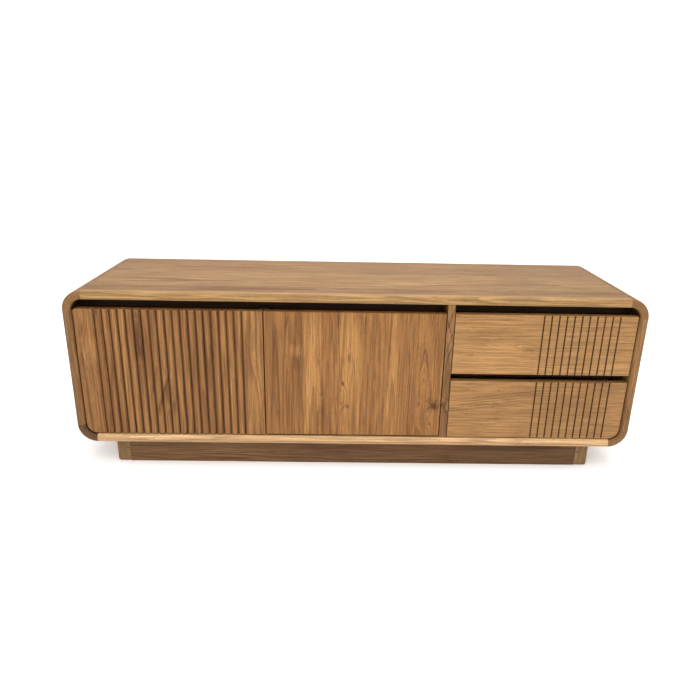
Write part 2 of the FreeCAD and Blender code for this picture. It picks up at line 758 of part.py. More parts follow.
# Pins of the hinge, from the door's front hinge corner: across the door and back from its face.
# The door turns about the pivot line; case pin, link pin and cup pin form a parallelogram with it.
CASE_PIN = ("(hinge_link * cos(hinge_link_angle) - pivot_outset)",
            "(hinge_link * sin(hinge_link_angle) - pivot_outset)")
CUP_PIN = ("(cup_pin_across - pivot_outset)", "(cup_pin_back - pivot_outset)")


def door_blank(bay, rounded_foot):
    """A plain door leaf with eased arrises, standing from its own lower left corner."""
    left = bay.edge if bay.way > 0 else bay.meeting
    body = new_body(f"{bay.name}_door_blank", left, FACE, bay.foot)
    height = f"({FRONTS_TOP} - {bay.foot})"
    pad(body, outline(body, "XZ_Plane", rectangle(bay.width, height)), "front_thickness", backwards=True)
    if rounded_foot:
        round_edges(body, FRONT_CORNER,
                    lambda edge: lies_at(edge, x=0, z=0) and near(edge.Length, value("front_thickness")))
        round_edges(body, "door_top_corner_radius",
                    lambda edge: lies_at(edge, x=0, z=value(height))
                    and near(edge.Length, value("front_thickness")))
    round_edges(body, "front_arris_small", lambda edge: lies_at(edge, y=0))
    return body


def rib_grooves(body):
    """Round-shouldered grooves down the whole door, which leave its ribs."""
    middle = "(rib_first_offset)"
    mouth = "rib_groove_width / 2"
    slot = "(rib_groove_width / 2 - rib_shoulder_radius)"
    corners = [(f"{middle} - {mouth}", "0"), (f"{middle} - {slot}", "rib_shoulder_radius"),
               (f"{middle} - {slot}", "rib_groove_depth"), (f"{middle} + {slot}", "rib_groove_depth"),
               (f"{middle} + {slot}", "rib_shoulder_radius"), (f"{middle} + {mouth}", "0")]
    arcs = {0: ("rib_shoulder_radius", -1), 4: ("rib_shoulder_radius", -1)}
    groove = pocket_through(body, outline(body, "XY_Plane", corners, arcs), backwards=True)
    repeat_across(body, groove, "rib_pitch", RIB_COUNT)


def hinge_cup(bay, number, level):
    """A pressed cup with a screw flange and the pin that its link turns on."""
    name = f"{bay.name}_cup_{number}"
    centre = bay.at("cup_edge_distance")
    floor = f"({FACE_BACK} - cup_depth)"
    shell_wall = rod(f"{name}_wall", (centre, floor, level), "+y", "cup_radius", "cup_depth")
    flange = block(f"{name}_flange",
                   bay.across("cup_edge_distance - cup_radius", "cup_edge_distance + cup_radius"),
                   (FACE_BACK, f"{FACE_BACK} + cup_flange_gauge"),
                   (f"{level} - cup_flange_height / 2", f"{level} + cup_flange_height / 2"))
    hollow = rod(f"{name}_hollow", (centre, f"{floor} + cup_gauge", level), "+y",
                 "cup_radius - cup_gauge", "cup_depth + cup_flange_gauge")
    pressed = cut(f"{name}_pressed", fuse(f"{name}_blank", [shell_wall, flange]), [hollow])
    pin_offset = "(cup_pin_across - pivot_outset - cup_edge_distance)"
    half_chord = f"sqrt((cup_radius - cup_gauge / 2)^2 - {pin_offset}^2)"
    pin = rod(f"{name}_pin", (bay.at(CUP_PIN[0]), f"{FACE} + {CUP_PIN[1]}", f"{level} - {half_chord}"),
              "+z", "hinge_pin_radius", f"2 * {half_chord}")
    return fuse(name, [pressed, pin])


def cup_screws(bay):
    """Two screws in each cup's flange, into the back of the door."""
    screws = []
    for number, level in enumerate(bay.levels):
        for way in (-1, 1):
            spot = (bay.at("cup_edge_distance"), f"{FACE_BACK} + cup_flange_gauge",
                    f"{level} + {way} * cup_screw_spacing / 2")
            screws.append(screw(f"{bay.name}_cup_screw_{number}_{way + 1}", spot, "-y", "short_screw"))
    return sub_part(group(f"{bay.name}_cup_screws", screws), f"{bay.name}_cup_screws")


def link_plate(name, bay, start, length, degrees, level, low, holes):
    """A flat link with round ends from a pin; degrees is measured from the door's own way."""
    turn = degrees if bay.way > 0 else f"180 * 1 deg - ({degrees})"
    body = new_body(name, bay.at(start[0]), f"{FACE} + {start[1]}", f"{level} + ({low})")
    bind(body, "Placement.Rotation.Angle", turn)
    radius = "link_end_radius"
    corners = [("0", f"-{radius}"), (length, f"-{radius}"), (length, radius), ("0", radius)]
    arcs = {1: (radius, 1), 3: (radius, 1)}
    pad(body, outline(body, "XY_Plane", corners, arcs, holes), "link_gauge")
    return body


def hinge_links(bay):
    """The two links of each hinge: one on the case pin, one on the cup pin with the link pin."""
    bore = "hinge_pin_radius + hinge_pin_clearance"
    open_bore = "hinge_pin_radius + open_pivot_clearance"
    reach = "sqrt(cup_pin_across^2 + cup_pin_back^2)"
    case_links = []
    door_links = []
    link_pin = (f"{CASE_PIN[0]} + cup_pin_across", f"{CASE_PIN[1]} + cup_pin_back")
    for number, level in enumerate(bay.levels):
        case_links.append(link_plate(f"{bay.name}_case_link_{number}", bay, CASE_PIN, reach,
                                     "atan(cup_pin_back / cup_pin_across)", level, "link_gap",
                                     [("0", "0", bore), (reach, "0", open_bore)]))
        plate = link_plate(f"{bay.name}_door_link_{number}_plate", bay, CUP_PIN, "hinge_link",
                           "hinge_link_angle * 1 deg", level, "-link_gap - link_gauge", [("0", "0", bore)])
        pin = rod(f"{bay.name}_link_pin_{number}",
                  (bay.at(link_pin[0]), f"{FACE} + {link_pin[1]}", f"{level} - link_gap - link_gauge"),
                  "+z", "hinge_pin_radius", "2 * link_gap + 2 * link_gauge + link_pin_end")
        door_links.append(fuse(f"{bay.name}_door_link_{number}", [plate, pin]))
    sub_part(group(f"{bay.name}_hinge_case_links", case_links), f"{bay.name}_hinge_case_links")
    sub_part(group(f"{bay.name}_hinge_door_links", door_links), f"{bay.name}_hinge_door_links")


def hinge_arm(bay, number, level):
    """A channel on the mounting plate whose two cheeks reach out to the case pin."""
    name = f"{bay.name}_arm_{number}"
    body = new_body(f"{name}_cheeks", bay.wall_face, FACE, f"{level} - cheek_outer")
    way = bay.way
    pin = (f"(side_gap + {CASE_PIN[0]})", CASE_PIN[1])
    foot, crest = "plate_gauge", "(plate_gauge + arm_rise)"
    end = "(plate_start + plate_length)"
    corners = [(f"{way} * {foot}", "plate_start"),
               (f"{way} * ({pin[0]} - cheek_end_radius)", pin[1]),
               (f"{way} * ({pin[0]} + cheek_end_radius)", pin[1]),
               (f"{way} * ({crest} + side_gap + arm_shoulder - arm_rise)", "plate_start"),
               (f"{way} * {crest}", "(plate_start + plate_length / 3)"),
               (f"{way} * {crest}", end), (f"{way} * {foot}", end)]
    arcs = {1: ("cheek_end_radius", way)}
    reach = "side_gap + hinge_link + cheek_end_radius"
    pad(body, outline(body, "XY_Plane", corners, arcs), "2 * cheek_outer")
    slot = block(f"{name}_slot", bay.across("plate_gauge + arm_web", reach, bay.wall_face),
                 (FACE, f"{FACE} + {end} + overrun"),
                 (f"{level} - cheek_inner", f"{level} + cheek_inner"))
    channel = cut(f"{name}_channel", body, [slot])
    pin_rod = rod(f"{name}_pin", (bay.at(CASE_PIN[0]), f"{FACE} + {CASE_PIN[1]}", f"{level} - cheek_outer"),
                  "+z", "hinge_pin_radius", "2 * cheek_outer")
    return fuse(name, [channel, pin_rod])


def hinge_case_side():
    """Mounting plates, arms and plate screws of all four hinges."""
    plates = []
    arms = []
    screws = []
    for bay in BAYS:
        for number, level in enumerate(bay.levels):
            plates.append(block(f"{bay.name}_plate_{number}", bay.across("0", "plate_gauge", bay.wall_face),
                                (f"{FACE} + plate_start", f"{FACE} + plate_start + plate_length"),
                                (f"{level} - plate_height / 2", f"{level} + plate_height / 2")))
            arms.append(hinge_arm(bay, number, level))
            inward = "-x" if bay.way > 0 else "+x"
            for way in (-1, 1):
                spot = (f"{bay.wall_face} + {bay.way} * plate_gauge",
                        f"{FACE} + plate_start + plate_length / 2",
                        f"{level} + {way} * plate_screw_spacing / 2")
                screws.append(screw(f"{bay.name}_plate_screw_{number}_{way + 1}", spot, inward,
                                    "short_screw"))
    fixings = sub_part(group("hinge_plate_screws", screws), "hinge_plate_screws")
    sub_part(cut("hinge_plates", group("plates", plates), [fixings]), "hinge_plates")
    sub_part(group("hinge_arms", arms), "hinge_arms")
    return fixings


def doors(fitting_room):
    """Both doors with their cups, screws, links and catch plates."""
    for bay in BAYS:
        leaf = door_blank(bay, bay.name == "left")
        if bay.name == "left":
            rib_grooves(leaf)
            leaf = common("left_door_fitted", leaf, fitting_room)
        cups = [hinge_cup(bay, number, level) for number, level in enumerate(bay.levels)]
        screws = cup_screws(bay)
        beds = [rod(f"{bay.name}_cup_bed_{number}",
                    (bay.at("cup_edge_distance"), f"{FACE_BACK} - cup_depth", level),
                    "+y", "cup_radius", "cup_depth + overrun") for number, level in enumerate(bay.levels)]
        sub_part(cut(f"{bay.name}_door", leaf, beds + [screws]), f"{bay.name}_door")
        sub_part(cut(f"{bay.name}_hinge_cups", group(f"{bay.name}_cups", cups), [screws]),
                 f"{bay.name}_hinge_cups")
        hinge_links(bay)
        inner = f"({bay.meeting} - {bay.way} * catch_plate_inset)"
        limits = (f"{inner} - catch_plate_width", inner) if bay.way > 0 else \
            (inner, f"{inner} + catch_plate_width")
        top = f"({FRONTS_TOP} - catch_plate_drop)"
        sub_part(block(f"{bay.name}_catch_plate", limits, (FACE_BACK, f"{FACE_BACK} + catch_plate_gauge"),
                       (f"{top} - catch_plate_height", top)), f"{bay.name}_catch_plate")


def magnetic_catch():
    """A double magnetic catch on the front of the rail over the doors."""
    middle = "(-door_meeting_offset)"
    top = f"({FRONTS_TOP} + catch_raise)"
    body = block("catch_body", (f"{middle} - catch_width / 2", f"{middle} + catch_width / 2"),
                 (f"{FACE_BACK} + catch_plate_gauge + catch_gap", f"{FRONT} + top_rail_setback"),
                 (f"{top} - catch_height", top))
    slit = block("catch_slit", (f"{middle} - catch_slit_width / 2", f"{middle} + catch_slit_width / 2"),
                 (FACE_BACK, f"{FACE_BACK} + catch_slit_depth"),
                 (f"{top} - catch_height - overrun", f"{top} + overrun"))
    sub_part(cut("magnetic_catch", body, [slit]), "magnetic_catch")


# ---------------------------------------------------------------- drawers and runners

class Drawer:
    """One drawer's place: the limits of its front, from which its box follows."""

    def __init__(self, name, foot, top):
        """foot and top are the front's lower and upper edges."""
        self.name = name
        self.front = (foot, top)
        self.box = (f"({foot} + box_foot_gap)", f"({top} - box_head_gap)")
        self.level = f"(({self.box[0]} + {self.box[1]}) / 2)"
        self.outer = (f"({DIVIDER_RIGHT} + runner_width + runner_clearance)",
                      f"({RIGHT_IN} - runner_width - runner_clearance)")
        self.back = f"({BATTEN_FACE} - box_back_gap)"


DRAWERS = (Drawer("upper", UPPER_FOOT, FRONTS_TOP),
           Drawer("lower", f"({FLOOR} + drawer_foot_gap)", LOWER_TOP))


def drawer_front(drawer, rounded_foot):
    """A reeded drawer front; the lower one follows the shell's corner."""
    left = f"({DIVIDER_RIGHT} + side_gap)"
    width = f"({RIGHT_IN} - side_gap - {left})"
    height = f"({drawer.front[1]} - {drawer.front[0]})"
    body = new_body(f"{drawer.name}_front_blank", left, FACE, drawer.front[0])
    pad(body, outline(body, "XZ_Plane", rectangle(width, height)), "front_thickness", backwards=True)
    if rounded_foot:
        round_edges(body, FRONT_CORNER,
                    lambda edge: lies_at(edge, x=value(width), z=0)
                    and near(edge.Length, value("front_thickness")))
    round_edges(body, "front_arris_small", lambda edge: lies_at(edge, y=0))
    low, high = "reed_first_offset - reed_width / 2", "reed_first_offset + reed_width / 2"
    corners = [(low, "0"), (low, "reed_depth"), (high, "reed_depth"), (high, "0")]
    groove = pocket_through(body, outline(body, "XY_Plane", corners), backwards=True)
    repeat_across(body, groove, "reed_pitch", REED_COUNT)
    return body


def drawer_pieces(drawer, fitting_room):
    """A drawer's front, sides, back and bottom, let into each other."""
    name = drawer.name
    low, high = drawer.outer
    bottom_z = (f"{drawer.box[0]} + box_bottom_raise",
                f"{drawer.box[0]} + box_bottom_raise + box_bottom_thickness")
    bottom = block(f"{name}_drawer_bottom",
                   (f"{low} + box_side_thickness - box_groove_depth",
                    f"{high} - box_side_thickness + box_groove_depth"),
                   (f"{FACE_BACK} - box_groove_depth",
                    f"{drawer.back} - box_side_thickness + box_groove_depth"),
                   bottom_z)
    sub_part(bottom, f"{name}_drawer_bottom")
    run = (f"{FACE_BACK} - box_housing", drawer.back)
    sides = group(f"{name}_side_blanks", [
        block(f"{name}_side_left", (low, f"{low} + box_side_thickness"), run, drawer.box),
        block(f"{name}_side_right", (f"{high} - box_side_thickness", high), run, drawer.box)])
    back = block(f"{name}_back_blank", (f"{low} + box_side_thickness", f"{high} - box_side_thickness"),
                 (f"{drawer.back} - box_side_thickness", drawer.back), drawer.box)
    sub_part(cut(f"{name}_drawer_sides", sides, [bottom]), f"{name}_drawer_sides")
    sub_part(cut(f"{name}_drawer_back", back, [bottom]), f"{name}_drawer_back")
    blank = common(f"{name}_front_fitted", drawer_front(drawer, name == "lower"), fitting_room)
    sub_part(cut(f"{name}_drawer_front", blank, [sides, bottom]), f"{name}_drawer_front")


def channel(name, drawer, side, web, lips, half_height):
    """A runner member of U section: web and lips are (low, high) from the fixed wall."""
    wall_face, way = (DIVIDER_RIGHT, 1) if side == "left" else (RIGHT_IN, -1)
    start = f"{FACE_BACK} + runner_front_gap"
    body = new_body(name, wall_face, start, drawer.level)
    inner = f"({half_height} - runner_gauge)"
    open_towards_drawer = lips[1] != web[1]
    back, edge, step = (web[0], lips[1], web[1]) if open_towards_drawer else (web[1], lips[0], web[0])
    corners = [(back, f"-{half_height}"), (edge, f"-{half_height}"), (edge, f"-{inner}"), (step, f"-{inner}"),
               (step, inner), (edge, inner), (edge, half_height), (back, half_height)]
    corners = [(f"{way} * {x}" if x != "0" else "0", z) for x, z in corners]
    pad(body, outline(body, "XZ_Plane", corners), "runner_length", backwards=True)
    return body


def runners():
    """Ball-bearing runners: fixed, middle and drawer members on both sides of both drawers."""
    fixed = []
    screws = []
    for drawer in DRAWERS:
        middles = []
        inners = []
        for side in ("left", "right"):
            stem = f"{drawer.name}_runner_{side}"
            fixed.append(channel(f"{stem}_fixed", drawer, side, ("0", "runner_gauge"),
                                 ("0", "runner_fixed_lip"), "(runner_height / 2)"))
            middle_web = ("runner_middle_start", "(runner_middle_start + runner_gauge)")
            middles.append(channel(f"{stem}_middle", drawer, side, middle_web,
                                   ("runner_middle_start", "runner_middle_lip"),
                                   "(runner_height / 2 - runner_nest)"))
            inner_web = ("(runner_width - runner_gauge)", "runner_width")
            inners.append(channel(f"{stem}_inner", drawer, side, inner_web,
                                  ("runner_inner_lip", "runner_width"),
                                  "(runner_height / 2 - 2 * runner_nest)"))
            face, way, inward = (DIVIDER_RIGHT, 1, "-x") if side == "left" else (RIGHT_IN, -1, "+x")
            # the first screw stands behind the hinge plate's screws, which share the divider
            depths = [f"{FACE} + plate_start + plate_length + runner_screw_gap"]
            depths += [f"{FACE_BACK} + runner_front_gap + {share} * runner_length"
                       for share in RUNNER_SCREW_SHARES]
            for number, depth in enumerate(depths):
                spot = (f"{face} + {way} * runner_gauge", depth, drawer.level)
                screws.append(screw(f"{stem}_screw_{number}", spot, inward, "short_screw"))
        sub_part(group(f"{drawer.name}_runner_middles", middles), f"{drawer.name}_runner_middles")
        sub_part(group(f"{drawer.name}_runner_inners", inners), f"{drawer.name}_runner_inners")
    fixings = sub_part(group("runner_screws", screws), "runner_screws")
    sub_part(cut("runner_fixed_members", group("fixed_members", fixed), [fixings]), "runner_fixed_members")
    return fixings


# ---------------------------------------------------------------- the whole cabinet

def build():
    """Builds every sub-part."""
    fill_sheet()
    room = room_inside("room_inside", "0")
    fitting_room = room_inside("fitting_room", "corner_clearance")
    splines = shell_splines()
    divider = divider_blank()
    plinth_screws = plinth()
    pins = shelf_pieces()
    hinge_screws = hinge_case_side()
    runner_screws = runners()
    wall_screws = group("wall_screws", [hinge_screws, runner_screws])
    shell(splines, divider, plinth_screws, pins, wall_screws)
    sub_part(cut("divider", divider, [pins, wall_screws]), "divider")
    back_pieces(room)
    rails(room)
    doors(fitting_room)
    magnetic_catch()
    for drawer in DRAWERS:
        drawer_pieces(drawer, fitting_room)
    DOC.recompute()


def check():
    """Stops on any object that failed and on any sub-part without a valid shape."""
    failed = [thing.Name for thing in DOC.Objects if {"Invalid", "Error"} & set(thing.State)]
    failed += [part.Label for part in SUB_PARTS if part.Shape.isNull() or not part.Shape.isValid()]
    if failed:
        raise RuntimeError(f"these did not build: {', '.join(failed)}")


def write():
    """Writes each sub-part's shape to its own file."""
    os.makedirs("parts", exist_ok=True)
    for part in SUB_PARTS:
        part.Shape.exportStep(f"parts/{part.Label}.step")
        print(part.Label, len(part.Shape.Solids), round(part.Shape.Volume))


build()
check()
write()
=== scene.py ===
import json
import logging
import math
import random
from dataclasses import dataclass
from enum import Enum
from typing import Optional, Sequence, Union

import bmesh
import bpy
from mathutils import Matrix, Vector

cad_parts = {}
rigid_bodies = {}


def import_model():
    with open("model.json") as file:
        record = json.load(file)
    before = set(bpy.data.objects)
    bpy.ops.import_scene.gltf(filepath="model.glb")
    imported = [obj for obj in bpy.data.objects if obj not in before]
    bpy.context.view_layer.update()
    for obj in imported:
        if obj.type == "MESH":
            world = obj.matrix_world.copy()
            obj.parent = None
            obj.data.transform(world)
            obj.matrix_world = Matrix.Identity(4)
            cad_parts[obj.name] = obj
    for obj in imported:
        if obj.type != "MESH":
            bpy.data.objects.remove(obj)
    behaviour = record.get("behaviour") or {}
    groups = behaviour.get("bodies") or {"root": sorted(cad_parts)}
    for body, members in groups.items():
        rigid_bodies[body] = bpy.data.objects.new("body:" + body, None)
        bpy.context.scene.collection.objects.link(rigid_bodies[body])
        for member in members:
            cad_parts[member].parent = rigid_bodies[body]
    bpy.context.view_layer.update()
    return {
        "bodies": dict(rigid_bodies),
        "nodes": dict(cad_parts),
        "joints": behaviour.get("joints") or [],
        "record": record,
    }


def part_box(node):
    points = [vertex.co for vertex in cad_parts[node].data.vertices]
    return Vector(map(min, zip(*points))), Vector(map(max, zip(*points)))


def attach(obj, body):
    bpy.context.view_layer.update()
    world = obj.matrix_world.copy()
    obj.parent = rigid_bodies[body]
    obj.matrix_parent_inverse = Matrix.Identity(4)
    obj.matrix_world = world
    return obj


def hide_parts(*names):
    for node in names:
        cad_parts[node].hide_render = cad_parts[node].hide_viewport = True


LOG = logging.getLogger("media_cabinet")
SCREW_SLOT = "screw_steel"
Colour = tuple[float, float, float]
Number = Union[float, "Wire"]


class Axis(Enum):
    """The three directions of the cabinet's own frame."""

    X = 0
    Y = 1
    Z = 2


# ---------------------------------------------------------------- shader trees


class Wire:
    """One value that runs from socket to socket; Python's operators add the Math nodes."""

    def __init__(self, tree: "ShaderTree", socket: bpy.types.NodeSocket) -> None:
        """Wraps a socket.

        Args:
            tree: the tree that the socket belongs to.
            socket: the output that the value comes from.
        """
        self.tree = tree
        self.socket = socket

    def _math(self, operation: str, *values: Number) -> "Wire":
        """Adds one Math node on the given values."""
        return self.tree.node("ShaderNodeMath", {"operation": operation}, dict(enumerate(values)))

    def __add__(self, other: Number) -> "Wire":
        """Sum."""
        return self._math("ADD", self, other)

    def __radd__(self, other: Number) -> "Wire":
        """Sum, with a number on the left."""
        return self._math("ADD", other, self)

    def __sub__(self, other: Number) -> "Wire":
        """Difference."""
        return self._math("SUBTRACT", self, other)

    def __rsub__(self, other: Number) -> "Wire":
        """Difference, with a number on the left."""
        return self._math("SUBTRACT", other, self)

    def __mul__(self, other: Number) -> "Wire":
        """Product."""
        return self._math("MULTIPLY", self, other)

    def __rmul__(self, other: Number) -> "Wire":
        """Product, with a number on the left."""
        return self._math("MULTIPLY", other, self)

    def __truediv__(self, other: Number) -> "Wire":
        """Quotient."""
        return self._math("DIVIDE", self, other)

    def __pow__(self, other: Number) -> "Wire":
        """Power."""
        return self._math("POWER", self, other)

    def floor(self) -> "Wire":
        """The whole number below."""
        return self._math("FLOOR", self)

    def fraction(self) -> "Wire":
        """What is left above the whole number below."""
        return self._math("FRACT", self)

    def absolute(self) -> "Wire":
        """The value without its sign."""
        return self._math("ABSOLUTE", self)

    def root(self) -> "Wire":
        """Square root."""
        return self._math("SQRT", self)

    def exponential(self) -> "Wire":
        """e to this power."""
        return self._math("EXPONENT", self)

    def clamped(self) -> "Wire":
        """The value held between 0 and 1."""
        return self.tree.node("ShaderNodeClamp", {}, {0: self})

    def stepped(self, low: float, high: float) -> "Wire":
        """A smooth step.

        Args:
            low: where the step starts, at 0.
            high: where it ends, at 1; below low the step falls instead.

        Returns:
            A value between 0 and 1.
        """
        rising = high > low
        ends = (low, high) if rising else (high, low)
        outs = (0.0, 1.0) if rising else (1.0, 0.0)
        return self.tree.node("ShaderNodeMapRange", {"interpolation_type": "SMOOTHSTEP"},
                              {0: self, 1: ends[0], 2: ends[1], 3: outs[0], 4: outs[1]})


Link = Union[float, Colour, Wire]


class ShaderTree:
    """A material's node tree, with one method that adds any node."""

    def __init__(self, name: str) -> None:
        """Makes an empty material.

        Args:
            name: the finish's name.
        """
        self.material = bpy.data.materials.new(name)
        self.material.use_nodes = True
        self.tree = self.material.node_tree
        self.tree.nodes.clear()

    def node(self, kind: str, settings: dict, sockets: dict, output: Union[int, str] = 0) -> Wire:
        """Adds a node.

        Args:
            kind: the node's type.
            settings: its properties; a ramp's stops are given as "stops", (position, colour) pairs.
            sockets: values or wires by the input's index or name.
            output: which output to give back.

        Returns:
            The wire from that output.
        """
        made = self.tree.nodes.new(kind)
        for key, setting in settings.items():
            if key == "stops":
                self._set_stops(made.color_ramp, setting)
            else:
                setattr(made, key, setting)
        for key, value in sockets.items():
            socket = made.inputs[key]
            if isinstance(value, Wire):
                self.tree.links.new(value.socket, socket)
            elif isinstance(value, tuple) and socket.type == "RGBA":
                socket.default_value = (*value, 1.0)
            else:
                socket.default_value = value
        return Wire(self, made.outputs[output])

    @staticmethod
    def _set_stops(ramp: bpy.types.ColorRamp, stops: Sequence[tuple[float, Colour]]) -> None:
        """Gives a ramp its stops, each colour held up to the next stop.

        Args:
            ramp: the ramp to fill.
            stops: position and colour of each stop, in order.
        """
        ramp.interpolation = "CONSTANT"
        while len(ramp.elements) < len(stops):
            ramp.elements.new(1.0)
        for element, (position, colour) in zip(ramp.elements, stops):
            element.position = position
            element.color = (*colour, 1.0)

    def vector(self, x: Number, y: Number, z: Number) -> Wire:
        """Three values as one vector."""
        return self.node("ShaderNodeCombineXYZ", {}, {0: x, 1: y, 2: z})

    def place(self) -> tuple[Wire, Wire, Wire]:
        """The point in the piece's own frame, as its X, Y and Z."""
        spot = self.node("ShaderNodeTexCoord", {}, {}, "Object")
        return tuple(self.node("ShaderNodeSeparateXYZ", {}, {0: spot}, axis) for axis in range(3))

    def noise(self, spot: Wire, detail: float = 2.0, roughness: float = 0.5) -> Wire:
        """Smooth noise between 0 and 1 at a point already scaled."""
        return self.node("ShaderNodeTexNoise", {"noise_dimensions": "3D"},
                         {"Vector": spot, "Scale": 1.0, "Detail": detail, "Roughness": roughness})

    def dice(self, value: Number) -> Wire:
        """A random value between 0 and 1 for each whole number."""
        return self.node("ShaderNodeTexWhiteNoise", {"noise_dimensions": "1D"}, {"W": value})

    def blend(self, share: Number, first: Link, second: Link) -> Wire:
        """A colour between two."""
        return self.node("ShaderNodeMix", {"data_type": "RGBA"}, {0: share, 6: first, 7: second}, 2)

    def shade(self, amount: Number, colour: Link, by: Link) -> Wire:
        """A colour multiplied by another, by a share."""
        return self.node("ShaderNodeMix", {"data_type": "RGBA", "blend_type": "MULTIPLY"},
                         {0: amount, 6: colour, 7: by}, 2)

    def relief(self, height: Wire, distance: float, strength: float = 1.0) -> Wire:
        """The normal of a surface that rises by a height times a distance in metres."""
        return self.node("ShaderNodeBump", {}, {"Height": height, "Distance": distance, "Strength": strength})

    def finish(self, **sockets: Link) -> bpy.types.Material:
        """Adds the Principled shader and the output.

        Args:
            sockets: the shader's inputs, with underscores for spaces.

        Returns:
            The finished material.
        """
        inputs = {key.replace("_", " "): value for key, value in sockets.items()}
        shader = self.node("ShaderNodeBsdfPrincipled", {}, inputs)
        self.node_output(shader)
        return self.material

    def node_output(self, shader: Wire) -> None:
        """Links a shader to the material's surface."""
        output = self.tree.nodes.new("ShaderNodeOutputMaterial")
        self.tree.links.new(shader.socket, output.inputs["Surface"])


# ---------------------------------------------------------------- finishes


class Fineness(Enum):
    """How fine each of the wood's noises is: cycles per metre along the grain and across it."""

    SLOW = (1.5, 8.0)
    QUICK = (6.0, 34.0)
    CLOUD = (2.6, 15.0)
    BAND = (1.8, 62.0)
    FIGURE = (13.0, 70.0)
    FIBRE = (9.0, 240.0)
    PORE = (70.0, 1300.0)


# How far slow and quick noise bend the growth rings, in metres, and how far slow noise shifts their count.
SLOW_BEND = 0.075
QUICK_BEND = 0.009
RING_DRIFT = 2.0
# How sharply a knot's darkness falls off, and how long the ends of a nested arch take to fade, in metres.
KNOT_EDGE = 2.2
ARCH_FADE = 0.02
# The narrowest span that a board's staves are spread over, and the room kept past the last one's start.
LEAST_SPAN = 0.05
SPAN_ROOM = 1.25
# Where a bend's dark inner side fades out, in metres outside its radius, and how dark a shaded end is.
BEND_FADE = (0.0012, -0.0002)
END_SHADE = 0.32
# What a pale patch or a painted edge highlight multiplies the timber's colour by.
PALE_LIFT = (1.32, 1.36, 1.42)
# Widths of staves as shares of the usual one, places of hearts in stave widths, depths of hearts in metres.
STAVE_WIDTHS = (0.75, 1.3)
HEART_PLACES = (-0.6, 1.6)
HEART_DEPTHS = (0.012, 0.07)


@dataclass(frozen=True)
class Figure:
    """An eye or a knot that the growth lines flow round, placed on a board's face."""

    across: float
    along: float
    reach_across: float
    reach_along: float
    rings: float
    dark: float = 0.0


@dataclass(frozen=True)
class Mark:
    """A streak or patch on a board's face; strength darkens it, and below 0 makes it paler."""

    across: float
    along: float
    reach_across: float
    reach_along: float
    strength: float
    slant: float = 0.0


@dataclass(frozen=True)
class Grooves:
    """Where a face is grooved, with painted shade on the walls and the bottom of the cuts.

    low and high bound the grooved field across the face, foot and top along it. The painted shade is weaker
    at the low end, and fade is how far from it, in metres, it takes to come to its full strength.
    """

    field_axis: Axis
    low: float
    high: float
    foot: float
    top: float
    depth: float
    strength: float = 0.8
    fade: float = 0.001


@dataclass(frozen=True)
class Arris:
    """A rounded edge with a painted highlight, paler than the faces beside it; reach below 0 runs the other
    way.
    """

    axis: Axis
    at: float
    reach: float
    strength: float


@dataclass(frozen=True)
class Arch:
    """Nested pointed arches of flat-sawn wood round one line of a stave."""

    across: float
    foot: float
    top: float
    half_width: float
    spacing: float
    bow: float


@dataclass(frozen=True)
class Hollow:
    """The inner side of a bend, which little light reaches: inside a radius of the bend's middle line."""

    across: float
    up: float
    radius: float
    strength: float = 0.9


@dataclass(frozen=True)
class Stave:
    """One strip of an edge-glued board.

    start is where it begins across the grain, tone runs from pale 0 to brown 1, heart is where
    its growth rings are centred across the grain, and deep how far under the face.
    """

    start: float
    tone: float
    heart: float
    deep: float


@dataclass(frozen=True)
class TimberTone:
    """The colours of one kind of timber, from its palest to its pores."""

    pale: Colour
    brown: Colour
    late_wood: Colour
    streak: Colour
    pore: Colour

    def toned(self, by: Colour) -> "TimberTone":
        """The same timber with every colour multiplied by another."""
        parts = (self.pale, self.brown, self.late_wood, self.streak, self.pore)
        return TimberTone(*(tuple(one * share for one, share in zip(part, by)) for part in parts))


TEAK = TimberTone(pale=(0.455, 0.225, 0.072), brown=(0.275, 0.118, 0.036), late_wood=(0.150, 0.056, 0.016),
                  streak=(0.092, 0.034, 0.010), pore=(0.055, 0.021, 0.007))
TEAK_RIBS = TEAK.toned((0.83, 0.81, 0.80))
TEAK_DRAWER = TEAK.toned((0.90, 0.97, 1.10))
# Painted sheen: a greyer copy of the timber for the top, standing in for the sheen of light on it.
TEAK_TOP_SHEEN = TEAK.toned((0.75, 0.86, 1.00))
# Painted highlight: a paler copy of the timber for the bottom panel, whose rounded front edge faces the
# light.
TEAK_EDGE_LIT = TEAK.toned((1.22, 1.52, 2.30))
# Painted shade: a darker copy of the timber for the walls, the divider and one lower corner block.
TEAK_WALL_SHADED = TEAK.toned((0.64, 0.67, 0.77))
TEAK_CORNER = TEAK.toned((0.66, 0.70, 0.80))
# Painted shade: a darker copy of the timber for the plinth posts, under the overhang.
TEAK_POST_SHADED = TEAK.toned((0.55, 0.64, 0.86))
TEAK_SHADED = TEAK.toned((0.53, 0.58, 0.72))
TEAK_DARK = TEAK.toned((0.36, 0.38, 0.52))
TEAK_UNLIT = TEAK.toned((0.16, 0.14, 0.16))
PALE_TIMBER = TimberTone(pale=(0.66, 0.46, 0.27), brown=(0.52, 0.33, 0.18), late_wood=(0.38, 0.22, 0.11),
                         streak=(0.30, 0.18, 0.10), pore=(0.22, 0.12, 0.06))


def glued_up(seed: int, low: float, high: float, width: float,
             tones: tuple[float, float]) -> tuple[Stave, ...]:
    """Staves of uneven width that fill a board.

    Args:
        seed: what the draws start from.
        low: where the first stave begins, in metres across the grain.
        high: where the last one ends.
        width: the staves' usual width.
        tones: the palest and brownest tone.

    Returns:
        The staves in order.
    """
    draw = random.Random(seed)
    staves = []
    start = low
    while start < high:
        step = width * draw.uniform(*STAVE_WIDTHS)
        heart = start + step * draw.uniform(*HEART_PLACES)
        staves.append(Stave(start, draw.uniform(*tones), heart, draw.uniform(*HEART_DEPTHS)))
        start += step
    return tuple(staves)


